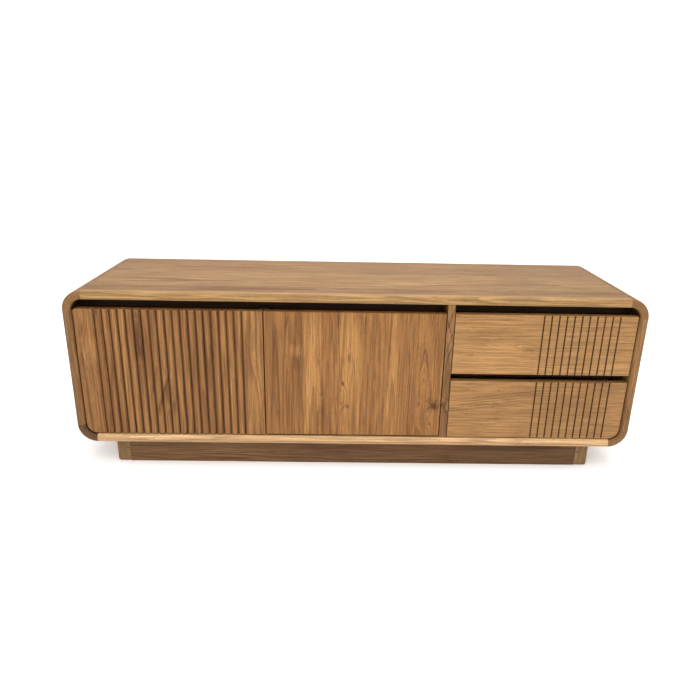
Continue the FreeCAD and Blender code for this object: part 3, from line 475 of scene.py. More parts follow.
@dataclass(frozen=True)
class Timber:
    """Oiled wood, worked out in depth, so that faces, edges and end grain agree.

    The growth rings of each stave lie round its own heart, and slow noise bends them. face is where the
    show face lies on the third axis. shade is an axis, where along it the wood is lit and where darkest.
    """

    name: str
    tone: TimberTone
    grain: Axis
    across: Axis
    staves: tuple[Stave, ...]
    face: float = 0.0
    figures: tuple[Figure, ...] = ()
    seed: float = 0.0
    marks: tuple[Mark, ...] = ()
    grooves: Optional[Grooves] = None
    arrises: tuple[Arris, ...] = ()
    arch: Optional[Arch] = None
    hollow: Optional[Hollow] = None
    shade: Optional[tuple[Axis, float, float]] = None
    ring_spacing: float = 0.0062
    taper: float = 2.2
    waviness: float = 1.0
    line_strength: float = 0.62
    streaks: float = 0.5
    roughness: float = 0.50

    def material(self) -> bpy.types.Material:
        """Builds the material.

        Returns:
            The finished material.
        """
        tree = ShaderTree(self.name)
        place = tree.place()
        along = place[self.grain.value]
        across = place[self.across.value]
        depth = place[3 - self.grain.value - self.across.value] - self.face
        tone, heart, deep = self._stave_facts(tree, across)
        spot = (along, across, depth)
        slow = self._noise(tree, spot, Fineness.SLOW, (self.seed, tone * 9.0, 0.0))
        quick = self._noise(tree, spot, Fineness.QUICK, (self.seed, 0.0, 0.0))
        bent = across - heart + (slow - 0.5) * (SLOW_BEND * self.waviness)
        bent = bent + (quick - 0.5) * (QUICK_BEND * self.waviness)
        radius = (bent ** 2.0 + (depth + deep) ** 2.0).root()
        rings = radius / self.ring_spacing + along * self.taper + slow * RING_DRIFT
        rings = self._arched(tree, across, along, rings, slow)
        knot_dark: Number = 0.0
        for figure in self.figures:
            near = self._nearness(tree, figure, across, along)
            rings = rings + near * figure.rings
            if figure.dark > 0:
                knot_dark = near ** KNOT_EDGE * figure.dark + knot_dark
        line = self._line(tree, rings)
        dark, light = self._marks(tree, across, along)
        # Painted highlight on the rounded edges.
        if self.arrises:
            light = light + self._painted_edge_highlights(tree, place)
        # Painted shade of bends and shaded ends.
        dark = self._unlit(place, dark)
        # Painted shade in the grooves.
        groove_shade = self._painted_groove_shade(tree, place, depth)
        return self._dress(tree, spot, tone, line, knot_dark, dark, light, groove_shade)

    @staticmethod
    def _noise(tree: ShaderTree, spot: tuple[Wire, Wire, Wire], fineness: Fineness,
               shift: tuple[Number, Number, Number], detail: float = 2.0, roughness: float = 0.5) -> Wire:
        """Noise drawn out along the grain.

        Args:
            tree: the material's tree.
            spot: distance along the grain, across it and under the face.
            fineness: how fine the noise is.
            shift: what is added to the three scaled distances.
            detail: how many finer layers are added.
            roughness: how strong the finer layers are.

        Returns:
            A value between 0 and 1.
        """
        along_scale, cross_scale = fineness.value
        scaled = [part * scale for part, scale in zip(spot, (along_scale, cross_scale, cross_scale))]
        moved = [part if by == 0.0 else part + by for part, by in zip(scaled, shift)]
        return tree.noise(tree.vector(*moved), detail, roughness)

    def _stave_facts(self, tree: ShaderTree, across: Wire) -> tuple[Wire, Wire, Wire]:
        """Looks up the stave at a point.

        Args:
            tree: the material's tree.
            across: distance across the grain.

        Returns:
            The stave's tone, where its heart is across the grain, and how far under the face.
        """
        low = self.staves[0].start
        span = max(self.staves[-1].start - low, LEAST_SPAN) * SPAN_ROOM
        middle = low + span / 2
        stops = [((stave.start - low) / span, (stave.tone, stave.heart - middle + 0.5, stave.deep))
                 for stave in self.staves]
        ramp = tree.node("ShaderNodeValToRGB", {"stops": stops}, {0: (across - low) / span})
        parts = [tree.node("ShaderNodeSeparateColor", {}, {0: ramp}, part) for part in range(3)]
        return parts[0], parts[1] - 0.5 + middle, parts[2]

    def _arched(self, tree: ShaderTree, across: Wire, along: Wire, rings: Wire, slow: Wire) -> Wire:
        """Puts the nested arches in place of the straight rings where the arch stands.

        Args:
            tree: the material's tree.
            across: distance across the grain.
            along: distance along it.
            rings: the count of the straight rings.
            slow: the slow noise.

        Returns:
            The count of rings with the arches in it.
        """
        if self.arch is None:
            return rings
        arch = self.arch
        wobble = tree.noise(tree.vector(along * 20.0, across * 30.0, self.seed), 2.0) - 0.5
        side = (across - arch.across + wobble * 0.006) / arch.half_width
        nested = (along + wobble * 0.012) / arch.spacing + (side ** 2.0) * arch.bow + slow * RING_DRIFT
        here = side.absolute().stepped(1.15, 0.75)
        here = here * along.stepped(arch.foot - ARCH_FADE, arch.foot + ARCH_FADE)
        here = here * along.stepped(arch.top + ARCH_FADE, arch.top)
        return rings + (nested - rings) * here

    def _unlit(self, place: tuple[Wire, Wire, Wire], dark: Number) -> Number:
        """Adds the darkness of a bend's inner side and of an end that stands in shadow.

        Args:
            place: the point in the piece's own frame.
            dark: how dark the point is so far.

        Returns:
            How dark it is with both.
        """
        if self.hollow is not None:
            bend = self.hollow
            side, rise = place[Axis.X.value] - bend.across, place[Axis.Z.value] - bend.up
            from_middle = (side ** 2.0 + rise ** 2.0).root()
            inner = from_middle.stepped(*(bend.radius + fade for fade in BEND_FADE))
            dark = inner * bend.strength + dark
        if self.shade is not None:
            axis, light_end, dark_end = self.shade
            dark = place[axis.value].stepped(light_end, dark_end) * END_SHADE + dark
        return dark

    @staticmethod
    def _nearness(tree: ShaderTree, figure: Figure, across: Wire, along: Wire) -> Wire:
        """How near a point is to a figure.

        Args:
            tree: the material's tree.
            figure: the eye or knot.
            across: distance across the grain.
            along: distance along it.

        Returns:
            1 at the figure's heart, falling to 0 away from it.
        """
        wobble = tree.noise(tree.vector(along * 24.0, across * 24.0, 3.7), 2.0) - 0.5
        side = (across - figure.across) / figure.reach_across + wobble * 0.5
        end = (along - figure.along) / figure.reach_along + wobble * 0.4
        return ((side ** 2.0 + end ** 2.0) * -1.0).exponential()

    def _marks(self, tree: ShaderTree, across: Wire, along: Wire) -> tuple[Number, Number]:
        """How dark and how pale the streaks and patches make a point.

        Args:
            tree: the material's tree.
            across: distance across the grain.
            along: distance along it.

        Returns:
            How dark, and how pale.
        """
        dark: Number = 0.0
        light: Number = 0.0
        for index, mark in enumerate(self.marks):
            ragged = tree.noise(tree.vector(along * 30.0 + index * 3.1, across * 190.0, self.seed), 3.0, 0.65)
            side = (across - mark.across + (along - mark.along) * -mark.slant) / mark.reach_across
            end = (along - mark.along) / mark.reach_along
            near = ((side ** 2.0 + (end ** 2.0) ** 2.0) * -1.0).exponential() * ragged.stepped(0.22, 0.62)
            if mark.strength > 0:
                dark = near * mark.strength + dark
            else:
                light = near * -mark.strength + light
        return dark, light

    def _painted_edge_highlights(self, tree: ShaderTree, place: tuple[Wire, Wire, Wire]) -> Wire:
        """How pale the painted highlight makes the rounded edges.

        Args:
            tree: the material's tree.
            place: the point in the piece's own frame.

        Returns:
            The product of how near each bound is, made uneven.
        """
        pale: Number = 1.0
        for arris in self.arrises:
            spot = place[arris.axis.value]
            pale = spot.stepped(arris.at + arris.reach, arris.at + arris.reach * 0.35) * pale * arris.strength
        # The painted highlight, made patchy.
        patchy = tree.noise(tree.vector(place[0] * 22.0, place[1] * 90.0, place[2] * 90.0), 2.0)
        return pale * (patchy * 0.7 + 0.65)

    def _painted_groove_shade(self, tree: ShaderTree, place: tuple[Wire, Wire, Wire], depth: Wire) -> Number:
        """How far the walls and the bottom of a groove are darkened by painted shade.

        Args:
            tree: the material's tree.
            place: the point in the piece's own frame.
            depth: distance under the face.

        Returns:
            0 outside the grooves, and up to their strength inside.
        """
        if self.grooves is None:
            return 0.0
        cut = self.grooves
        spot = place[cut.field_axis.value]
        rise = place[Axis.Z.value]
        inside = spot.stepped(cut.low - 0.002, cut.low) * spot.stepped(cut.high + 0.002, cut.high)
        between = rise.stepped(cut.foot + 0.0004, cut.foot + 0.0016)
        between = between * rise.stepped(cut.top - 0.0004, cut.top - 0.0016)
        sunk = depth.stepped(0.0006, 0.0034) * depth.stepped(cut.depth + 0.0016, cut.depth + 0.0004)
        uneven = tree.noise(tree.vector(spot * 31.0, rise * 5.0, self.seed), 2.0) * 0.6 + 0.66
        uneven = uneven * (spot.stepped(cut.low, cut.low + cut.fade) * 0.6 + 0.4)
        return inside * between * sunk * uneven * cut.strength

    def _line(self, tree: ShaderTree, rings: Wire) -> Wire:
        """The dark late wood at the end of each year's growth, uneven from year to year.

        Args:
            tree: the material's tree.
            rings: the count of rings.

        Returns:
            0 in early wood, and up to 1 in late wood.
        """
        share = rings.fraction()
        band = share.stepped(0.25, 0.86) * share.stepped(1.0, 0.92)
        year = tree.dice(rings.floor())
        return band * (year * 0.75 + 0.25)

    def _dress(self, tree: ShaderTree, spot: tuple[Wire, Wire, Wire], tone: Wire, line: Wire,
               knot_dark: Number, dark: Number, light: Number, groove_shade: Number) -> bpy.types.Material:
        """Colour, gloss and relief over the rings.

        Args:
            tree: the material's tree.
            spot: distance along the grain, across it and under the face.
            tone: the stave's own tone.
            line: the late wood.
            knot_dark: how dark the knots make the point.
            dark: how dark the streaks and the painted shade of bends and shaded ends make it.
            light: how pale the patches and the painted edge highlights make it.
            groove_shade: how far the painted shade in a groove darkens it.

        Returns:
            The finished material.
        """
        cloud = self._noise(tree, spot, Fineness.CLOUD, (self.seed, 0.0, 0.0), 3.0)
        fibre = self._noise(tree, spot, Fineness.FIBRE, (0.0, 0.0, self.seed), 3.0, 0.6)
        band = self._noise(tree, spot, Fineness.BAND, (7.0, self.seed, 0.0))
        pore = self._noise(tree, spot, Fineness.PORE, (0.0, 0.0, self.seed), 1.0)
        figure = self._noise(tree, spot, Fineness.FIGURE, (self.seed, 0.0, 0.0), 3.0, 0.62)
        shift = tone + (cloud - 0.5) * 1.25 - light * 0.9
        base = tree.blend(shift.clamped(), self.tone.pale, self.tone.brown)
        if isinstance(light, Wire):
            base = tree.shade((light * 0.45).clamped(), base, PALE_LIFT)
        base = tree.blend((line * self.line_strength).clamped(), base, self.tone.late_wood)
        mineral = band.stepped(0.56, 0.74) * (cloud * 0.7 + 0.3) * self.streaks
        base = tree.blend(mineral.clamped(), base, self.tone.streak)
        fleck = figure.stepped(0.56, 0.76) * 0.5
        base = tree.blend(fleck, base, self.tone.late_wood)
        grey = fibre.stepped(0.30, 0.72) * 0.5 + 0.68
        base = tree.shade(1.0, base, tree.vector(grey, grey, grey))
        pores = pore.stepped(0.60, 0.72) * (fibre * 0.6 + 0.3)
        base = tree.blend((pores * 0.6).clamped(), base, self.tone.pore)
        for amount in (dark, knot_dark, groove_shade):
            if isinstance(amount, Wire):
                base = tree.blend(amount.clamped(), base, self.tone.streak)
        gloss = line * 0.08 + pores * 0.25 + (cloud - 0.5) * 0.12 + self.roughness
        height = line * 0.5 + fibre * 0.35 - pores * 1.2
        return tree.finish(Base_Color=base, Roughness=gloss, Normal=tree.relief(height, 0.00025, 0.8),
                           Specular_IOR_Level=0.2)


@dataclass(frozen=True)
class EndGrainPeg:
    """The oiled end of a round hardwood peg: dark, with rings across it."""

    name: str

    def material(self) -> bpy.types.Material:
        """Builds the material.

        Returns:
            The finished material.
        """
        tree = ShaderTree(self.name)
        x, y, z = tree.place()
        speck = tree.noise(tree.vector(x * 900.0, y * 900.0, z * 900.0), 2.0)
        rings = ((x + y * 0.6 + z) * 1400.0 + speck * 2.0).fraction().stepped(0.2, 0.9)
        colour = tree.blend(rings * 0.5 + speck * 0.3, (0.085, 0.038, 0.016), (0.028, 0.012, 0.006))
        return tree.finish(Base_Color=colour, Roughness=0.5 + speck * 0.2,
                           Normal=tree.relief(speck + rings * 0.4, 0.0002), Specular_IOR_Level=0.35)


@dataclass(frozen=True)
class PlatedSteel:
    """Pressed steel under nickel or zinc: fine drawing lines, faint cloudy tarnish."""

    name: str
    colour: Colour
    tarnish: Colour
    drawn: Axis
    roughness: float = 0.3

    def material(self) -> bpy.types.Material:
        """Builds the material.

        Returns:
            The finished material.
        """
        tree = ShaderTree(self.name)
        place = list(tree.place())
        scaled = [wire * (40.0 if index == self.drawn.value else 1800.0) for index, wire in enumerate(place)]
        lines = tree.noise(tree.vector(*scaled), 2.0, 0.6)
        cloud = tree.noise(tree.vector(*(wire * 45.0 for wire in place)), 3.0)
        spots = tree.noise(tree.vector(*(wire * 380.0 for wire in place)), 2.0).stepped(0.66, 0.8)
        colour = tree.blend(cloud.stepped(0.35, 0.8) * 0.55 + spots * 0.2, self.colour, self.tarnish)
        return tree.finish(Base_Color=colour, Metallic=1.0, Normal=tree.relief(lines, 0.00003, 0.6),
                           Roughness=lines * 0.16 + cloud * 0.12 + spots * 0.1 + self.roughness - 0.12)


@dataclass(frozen=True)
class MouldedPlastic:
    """Matt moulded plastic with a fine spark-eroded grain."""

    name: str
    colour: Colour

    def material(self) -> bpy.types.Material:
        """Builds the material.

        Returns:
            The finished material.
        """
        tree = ShaderTree(self.name)
        place = tree.place()
        grain = tree.noise(tree.vector(*(wire * 2600.0 for wire in place)), 2.0)
        rub = tree.noise(tree.vector(*(wire * 60.0 for wire in place)), 3.0)
        darker = tuple(channel * 0.78 for channel in self.colour)
        colour = tree.blend(rub.stepped(0.3, 0.8) * 0.6, self.colour, darker)
        return tree.finish(Base_Color=colour, Roughness=rub * 0.15 + grain * 0.1 + 0.42,
                           Normal=tree.relief(grain, 0.00004, 0.7), Specular_IOR_Level=0.45)


@dataclass(frozen=True)
class StudioPaper:
    """The pale sheet that the cabinet stands on."""

    name: str
    colour: Colour = (0.965, 0.965, 0.96)
    glow: float = 0.2

    def material(self) -> bpy.types.Material:
        """Builds the material.

        Returns:
            The finished material.
        """
        tree = ShaderTree(self.name)
        place = tree.place()
        tooth = tree.noise(tree.vector(*(wire * 300.0 for wire in place)), 2.0)
        tint = tree.blend(tooth * 0.3, self.colour, tuple(channel * 0.98 for channel in self.colour))
        return tree.finish(Base_Color=tint, Roughness=0.85, Normal=tree.relief(tooth, 0.0001, 0.3),
                           Emission_Color=tint, Emission_Strength=self.glow)


# ---------------------------------------------------------------- what the sub-assemblies share


class Assembly:
    """A group of the cabinet's pieces: it makes its finishes and dresses its nodes."""

    def __init__(self, frame: dict) -> None:
        """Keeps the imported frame.
        """
        self.frame = frame

    def dress(self, finish: object, *nodes: str) -> None:
        """Gives one finish to several nodes of the frame.

        Args:
            finish: a finish with a material method.
            nodes: the nodes' names.
        """
        material = finish.material()
        for name in nodes:
            mesh = self.frame["nodes"][name].data
            mesh.materials.clear()
            mesh.materials.append(material)
            LOG.info("%s wears %s", name, material.name)

    def build(self) -> None:
        """Builds and dresses the group's pieces."""
        raise NotImplementedError


@dataclass(frozen=True)
class ScrewShape:
    """One screw as the frame has it: the middle of its head's face, the way it goes in, and its measures."""

    head: Vector
    into: Vector
    head_radius: float
    shank_radius: float
    length: float

    @staticmethod
    def of(points: list[Vector], axis: Axis) -> "ScrewShape":
        """Measures a screw.

        Args:
            points: the points of its surface.
            axis: the direction that it lies along.

        Returns:
            The screw's measures.
        """
        index = axis.value
        low = Vector(min(point[part] for point in points) for part in range(3))
        high = Vector(max(point[part] for point in points) for part in range(3))
        middle = (low + high) / 2
        near = 0.0002

        def reach(end: float) -> float:
            """The largest distance from the screw's middle line at one end."""
            offsets = [point - middle for point in points if abs(point[index] - end) < near]
            return max(math.hypot(*(off[part] for part in range(3) if part != index)) for off in offsets)

        wide_low, wide_high = reach(low[index]), reach(high[index])
        head, into = middle.copy(), Vector((0.0, 0.0, 0.0))
        head[index] = low[index] if wide_low > wide_high else high[index]
        into[index] = 1.0 if wide_low > wide_high else -1.0
        wide, narrow = max(wide_low, wide_high), min(wide_low, wide_high)
        return ScrewShape(head, into, wide, narrow, high[index] - low[index])


@dataclass(frozen=True)
class RecessedScrews:
    """Screws with a cross recess in the head, in place of the plain ones of a node."""

    node: str
    body: str
    slot: str
    axis: Axis
    sides: int = 32
    arm_half_width: float = 0.13
    arm_reach: float = 0.60
    recess_depth: float = 0.55
    recess_taper: float = 0.5
    rim: float = 0.95

    def build(self, frame: dict, material: bpy.types.Material) -> None:
        """Makes the piece, lets it ride and hides the node.

        Args:
            material: the screws' finish.
        """
        mesh = bpy.data.meshes.new(f"{self.node}_recessed")
        built = bmesh.new()
        for points in self._islands(frame["nodes"][self.node].data):
            self._screw(built, ScrewShape.of(points, self.axis))
        built.to_mesh(mesh)
        built.free()
        mesh.materials.append(material)
        piece = bpy.data.objects.new(f"{self.node}_recessed", mesh)
        bpy.context.collection.objects.link(piece)
        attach(piece, self.body)
        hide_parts(self.node)
        LOG.info("%s replaces %s", piece.name, self.node)

    @staticmethod
    def _islands(mesh: bpy.types.Mesh) -> list[list[Vector]]:
        """Parts a node's mesh into its separate screws.

        Args:
            mesh: the node's mesh.

        Returns:
            The points of each screw.
        """
        weld_distance = 1e-6
        whole = bmesh.new()
        whole.from_mesh(mesh)
        bmesh.ops.remove_doubles(whole, verts=whole.verts, dist=weld_distance)
        left = set(whole.verts)
        islands = []
        while left:
            open_ends, points = [left.pop()], []
            while open_ends:
                vertex = open_ends.pop()
                points.append(vertex.co.copy())
                for edge in vertex.link_edges:
                    other = edge.other_vert(vertex)
                    if other in left:
                        left.remove(other)
                        open_ends.append(other)
            islands.append(points)
        whole.free()
        return islands

    def _screw(self, built: bmesh.types.BMesh, shape: ScrewShape) -> None:
        """Adds one screw: a face with its recess, a countersunk head, a shank and a point.

        Args:
            built: the mesh that the screw is added to.
            shape: its place and measures.
        """
        turn = shape.into.to_track_quat("Z", "Y")

        def spot(x: float, y: float, down: float) -> bmesh.types.BMVert:
            """A vertex at a place across the head and down from its face."""
            return built.verts.new(shape.head + turn @ Vector((x, y, down)))

        def ring(radius: float, down: float) -> list[bmesh.types.BMVert]:
            """A circle of vertices."""
            angles = [math.tau * step / self.sides for step in range(self.sides)]
            return [spot(radius * math.cos(angle), radius * math.sin(angle), down) for angle in angles]

        def band(first: list, second: list, smooth: bool) -> None:
            """Adds faces between two loops of as many vertices.

            Args:
                first: one loop.
                second: the other loop.
                smooth: whether the faces are shaded as round.
            """
            count = len(first)
            for step in range(count):
                after = (step + 1) % count
                face = built.faces.new((first[step], first[after], second[after], second[step]))
                face.smooth = smooth

        head, shank = shape.head_radius, shape.shank_radius
        width, reach = self.arm_half_width * head, self.arm_reach * head
        corners = [(reach, -width), (reach, width), (width, width), (width, reach), (-width, reach),
                   (-width, width), (-reach, width), (-reach, -width), (-width, -width), (-width, -reach),
                   (width, -reach), (width, -width)]
        taper, depth = self.recess_taper, self.recess_depth * head
        mouth = [spot(x, y, 0.0) for x, y in corners]
        floor = [spot(x * taper, y * taper, depth) for x, y in corners]
        rim = ring(head * self.rim, 0.0)
        edges = [built.edges.new((loop[step], loop[(step + 1) % len(loop)]))
                 for loop in (mouth, rim) for step in range(len(loop))]
        bmesh.ops.triangle_fill(built, use_beauty=True, use_dissolve=False, edges=edges)
        band(mouth, floor, False)
        built.faces.new(floor)
        loops = [rim, ring(head, head * (1 - self.rim)), ring(shank, head - shank),
                 ring(shank, shape.length - shank), ring(shank * 0.2, shape.length)]
        for first, second in zip(loops, loops[1:]):
            band(first, second, True)
        built.faces.new(loops[-1])
        bmesh.ops.recalc_face_normals(built, faces=built.faces)


# ---------------------------------------------------------------- sub-assemblies


@dataclass
class Shell(Assembly):
    """Top, bottom, sides and the four curved corner blocks."""

    frame: dict
    stave_width: float = 0.085
    inner_bend: float = 0.031

    def build(self) -> None:
        """Dresses every wall in timber that runs its own way."""
        low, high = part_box("top_panel")
        front, back = low.y, high.y
        marks = (Figure(-0.05, -0.30, 0.012, 0.05, 2.2, 0.25), Figure(0.12, 0.33, 0.014, 0.06, 2.5, 0.2),
                 Figure(-0.16, 0.42, 0.010, 0.045, 2.0, 0.3), Figure(0.02, -0.62, 0.012, 0.05, 2.0, 0.25),
                 Figure(-0.12, -0.45, 0.009, 0.04, 1.6, 0.35))
        # Painted sheen in the top's greyer colour, and a painted highlight along its front edge.
        self.dress(Timber("oiled_teak_top", TEAK_TOP_SHEEN, Axis.X, Axis.Y,
                          glued_up(11, front, back, self.stave_width, (0.2, 0.75)), high.z, marks, 3.1,
                          (Mark(0.0, 0.62, 0.30, 0.26, 0.22),), arrises=(Arris(Axis.Y, front, 0.030, 1.0),),
                          line_strength=0.55), "top_panel")
        # Painted highlight: the bottom panel in a paler copy, brightest along the top of its rounded front
        # edge.
        self.dress(Timber("oiled_teak_bottom", TEAK_EDGE_LIT, Axis.X, Axis.Y,
                          glued_up(12, front, back, self.stave_width, (0.1, 0.5)),
                          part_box("bottom_panel")[0].z, (), 8.4, line_strength=0.4, arrises=(
                              Arris(Axis.Y, front, 0.020, 2.0),
                              Arris(Axis.Z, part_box("bottom_panel")[1].z, -0.014, 1.0))), "bottom_panel")
        # Painted shade: the side walls in a darker copy of the timber.
        for number, node in enumerate(("left_side_panel", "right_side_panel")):
            self.dress(Timber(f"oiled_teak_side_{number}", TEAK_WALL_SHADED, Axis.Z, Axis.Y,
                              glued_up(21 + number, front, back, self.stave_width, (0.2, 0.65)),
                              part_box(node)[number].x, (), 14.0 + number * 5), node)
        blocks = (("corner_top_left", TEAK_CORNER, 31), ("corner_top_right", TEAK_CORNER, 32),
                  ("corner_bottom_right", TEAK_WALL_SHADED, 33), ("corner_bottom_left", TEAK_DARK, 34))
        for node, tone, seed in blocks:
            low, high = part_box(node)
            staves = (Stave(low.x - 0.01, 0.62, low.x + 0.02, 0.03),)
            middle_z = low.z if "top" in node else high.z
            hollow = Hollow(high.x if node.endswith("left") else low.x, middle_z, self.inner_bend)
            self.dress(Timber(f"oiled_teak_{node}", tone, Axis.Y, Axis.X, staves, low.z, (), seed * 1.7,
                              hollow=hollow, waviness=1.6, line_strength=0.22, streaks=0.25), node)
        self.dress(Timber("beech_tongues", PALE_TIMBER, Axis.Y, Axis.X,
                          (Stave(-1.0, 0.4, 0.0, 0.05),), 0.0, (), 5.5), "corner_splines")


@dataclass
class RibbedDoor(Assembly):
    """The left door: an upright board worked into ribs."""

    frame: dict
    groove_field: tuple[float, float] = (0.048, 0.463)
    groove_depth: float = 0.008

    def build(self) -> None:
        """Dresses the leaf."""
        low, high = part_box("left_door")
        tall = high.z - low.z
        spots = [(0.00, 0.55), (0.055, 0.75), (0.105, 0.45), (0.150, 0.60), (0.215, 0.38), (0.268, 0.66),
                 (0.318, 0.5), (0.360, 0.62), (0.405, 0.35), (0.455, 0.25)]
        hearts = [(0.02 * (1 + index % 3), 0.02 + 0.01 * (index % 4)) for index in range(len(spots))]
        staves = tuple(Stave(low.x + start, tone, low.x + start + aside, deep)
                       for (start, tone), (aside, deep) in zip(spots, hearts))
        figures = (Figure(low.x + 0.170, low.z + tall * 0.80, 0.009, 0.05, 3.0, 0.3),
                   Figure(low.x + 0.045, low.z + tall * 0.70, 0.03, 0.05, 3.0, 0.0),
                   Figure(low.x + 0.245, low.z + tall * 0.35, 0.012, 0.06, 2.0, 0.4))
        top = high.z
        marks = (Mark(low.x + 0.169, top - 0.085, 0.010, 0.060, 0.85, 0.05),
                 Mark(low.x + 0.178, top - 0.120, 0.007, 0.040, 0.60, 0.10),
                 Mark(low.x + 0.205, top - 0.210, 0.005, 0.050, 0.65, 0.25),
                 Mark(low.x + 0.222, top - 0.265, 0.005, 0.055, 0.70, 0.30),
                 Mark(low.x + 0.238, top - 0.215, 0.005, 0.060, 0.60, 0.28),
                 Mark(low.x + 0.252, top - 0.300, 0.006, 0.050, 0.55, 0.20),
                 Mark(low.x + 0.060, top - 0.020, 0.004, 0.020, 0.75, 0.20),
                 Mark(low.x + 0.370, top - 0.150, 0.004, 0.060, 0.55),
                 Mark(low.x + 0.035, top - 0.120, 0.018, 0.040, -0.8),
                 Mark(low.x + 0.490, top - 0.230, 0.018, 0.120, -0.3),
                 Mark(low.x + 0.490, top - 0.180, 0.030, 0.250, 0.22),
                 Mark(low.x + 0.022, top - 0.220, 0.024, 0.240, 0.25))
        # Painted shade in the grooves between the ribs, weaker towards the left end.
        grooves = Grooves(Axis.X, low.x + self.groove_field[0], low.x + self.groove_field[1], low.z, high.z,
                          self.groove_depth, 0.62, 0.09)
        self.dress(Timber("oiled_teak_ribs", TEAK_RIBS, Axis.Z, Axis.X, staves, low.y, figures, 2.3, marks,
                          grooves, line_strength=0.6, streaks=0.8), "left_door")


@dataclass
class PlainDoor(Assembly):
    """The right door: upright staves of uneven tone, with a knot that the divider shares."""

    frame: dict

    def build(self) -> None:
        """Dresses the leaf."""
        low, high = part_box("right_door")
        top = high.z
        spots = [(0.000, 0.66, 0.03, 0.05), (0.060, 0.62, 0.09, 0.03), (0.109, 0.28, 0.13, 0.06),
                 (0.158, 0.68, 0.17, 0.04), (0.209, 0.20, 0.24, 0.07), (0.266, 0.52, 0.30, 0.05),
                 (0.340, 0.30, 0.36, 0.04), (0.372, 0.58, 0.448, 0.012)]
        staves = tuple(Stave(low.x + start, tone, low.x + heart, deep) for start, tone, heart, deep in spots)
        knot = top - 0.277
        figures = (Figure(low.x + 0.484, knot, 0.017, 0.016, 5.0, 1.1),
                   Figure(low.x + 0.455, top - 0.318, 0.016, 0.026, 4.0, 0.05),
                   Figure(low.x + 0.220, top - 0.250, 0.014, 0.030, 2.0, 0.1))
        cracks = ((-0.010, 0.008, 0.012, -1.3), (-0.004, 0.010, 0.018, -0.5),
                  (0.003, 0.010, 0.012, 0.35), (-0.012, -0.004, 0.008, 1.4))
        rays = tuple(Mark(low.x + 0.482 + run, knot + rise, 0.0040, reach, 0.75, lean)
                     for run, rise, reach, lean in cracks)
        legs = tuple(Mark(low.x + 0.448 - lean * fall, top - 0.100 - fall, 0.0017, fall * 0.95, 0.55, lean)
                     for fall in (0.036, 0.056) for lean in (0.16, -0.16))
        marks = rays + legs + (
            Mark(low.x + 0.162, top - 0.275, 0.0045, 0.090, 0.85),
            Mark(low.x + 0.150, top - 0.330, 0.011, 0.045, 0.45),
            Mark(low.x + 0.128, top - 0.215, 0.014, 0.150, -0.9),
            Mark(low.x + 0.238, top - 0.150, 0.026, 0.100, -0.9),
            Mark(low.x + 0.236, top - 0.131, 0.0035, 0.014, 0.8),
            Mark(low.x + 0.219, top - 0.210, 0.0045, 0.007, 0.9),
            Mark(low.x + 0.232, top - 0.280, 0.0060, 0.006, 0.9),
            Mark(low.x + 0.309, top - 0.220, 0.0030, 0.070, 0.75),
            Mark(low.x + 0.205, top - 0.022, 0.0050, 0.025, 0.7),
            Mark(low.x + 0.063, top - 0.030, 0.0040, 0.022, 0.7, 0.2),
            Mark(low.x + 0.091, top - 0.150, 0.0140, 0.022, 0.45),
            Mark(low.x + 0.088, top - 0.112, 0.0150, 0.016, -1.0),
            Mark(low.x + 0.360, top - 0.150, 0.0110, 0.140, -0.7))
        arch = Arch(low.x + 0.448, top - 0.245, top - 0.098, 0.021, 0.030, 4.4)
        self.dress(Timber("oiled_teak_staves", TEAK.toned((0.84, 0.81, 0.76)), Axis.Z, Axis.X, staves, low.y,
                          figures, 6.9, marks, arch=arch, waviness=0.7, line_strength=0.55, streaks=0.75),
                   "right_door")


@dataclass
class Inside(Assembly):
    """Divider, shelf, rails, back and battens."""

    frame: dict

    def build(self) -> None:
        """Dresses what stands inside the shell."""
        low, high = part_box("divider")
        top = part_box("right_door")[1].z
        knot = (Figure(low.x + 0.004, top - 0.272, 0.010, 0.012, 4.0, 0.7),)
        slants = tuple(Mark(low.x + 0.010, top - drop, 0.0020, 0.036, 0.9, lean)
                       for drop, lean in ((0.015, 0.28), (0.048, -0.30), (0.085, 0.26), (0.125, 0.22)))
        slants += tuple(Mark(low.x + 0.010, top - drop, 0.0024, 0.016, 0.9, lean)
                        for drop, lean in ((0.262, 0.9), (0.275, 0.5), (0.285, -0.6)))
        # Painted shade: the divider in the walls' darker copy of the timber.
        self.dress(Timber("oiled_teak_divider", TEAK_WALL_SHADED, Axis.Z, Axis.X,
                          (Stave(low.x - 0.01, 0.35, low.x + 0.02, 0.03),), low.y, knot, 9.2, slants,
                          line_strength=0.5), "divider")
        low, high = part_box("shelf")
        self.dress(Timber("oiled_teak_shelf", TEAK, Axis.X, Axis.Y,
                          glued_up(42, low.y, high.y, 0.08, (0.3, 0.7)), high.z, (), 12.6), "shelf")
        for node, seed in (("door_top_rail", 4.0), ("drawer_top_rail", 5.0), ("drawer_mid_rail", 6.0)):
            low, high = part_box(node)
            self.dress(Timber(f"oiled_teak_{node}", TEAK_UNLIT, Axis.X, Axis.Z,
                              (Stave(low.z - 0.01, 0.5, low.z + 0.01, 0.03),), low.y, (), seed,
                              shade=(Axis.Z, low.z, high.z)), node)
        low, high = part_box("back_panel")
        self.dress(Timber("veneered_back", TEAK, Axis.X, Axis.Z,
                          glued_up(43, low.z, high.z, 0.14, (0.3, 0.6)), high.y, (), 17.0,
                          line_strength=0.5, roughness=0.56), "back_panel")
        self.dress(Timber("planed_battens", PALE_TIMBER, Axis.X, Axis.Z, (Stave(0.0, 0.4, 0.2, 0.05),),
                          high.y, (), 19.0, roughness=0.62), "back_battens")


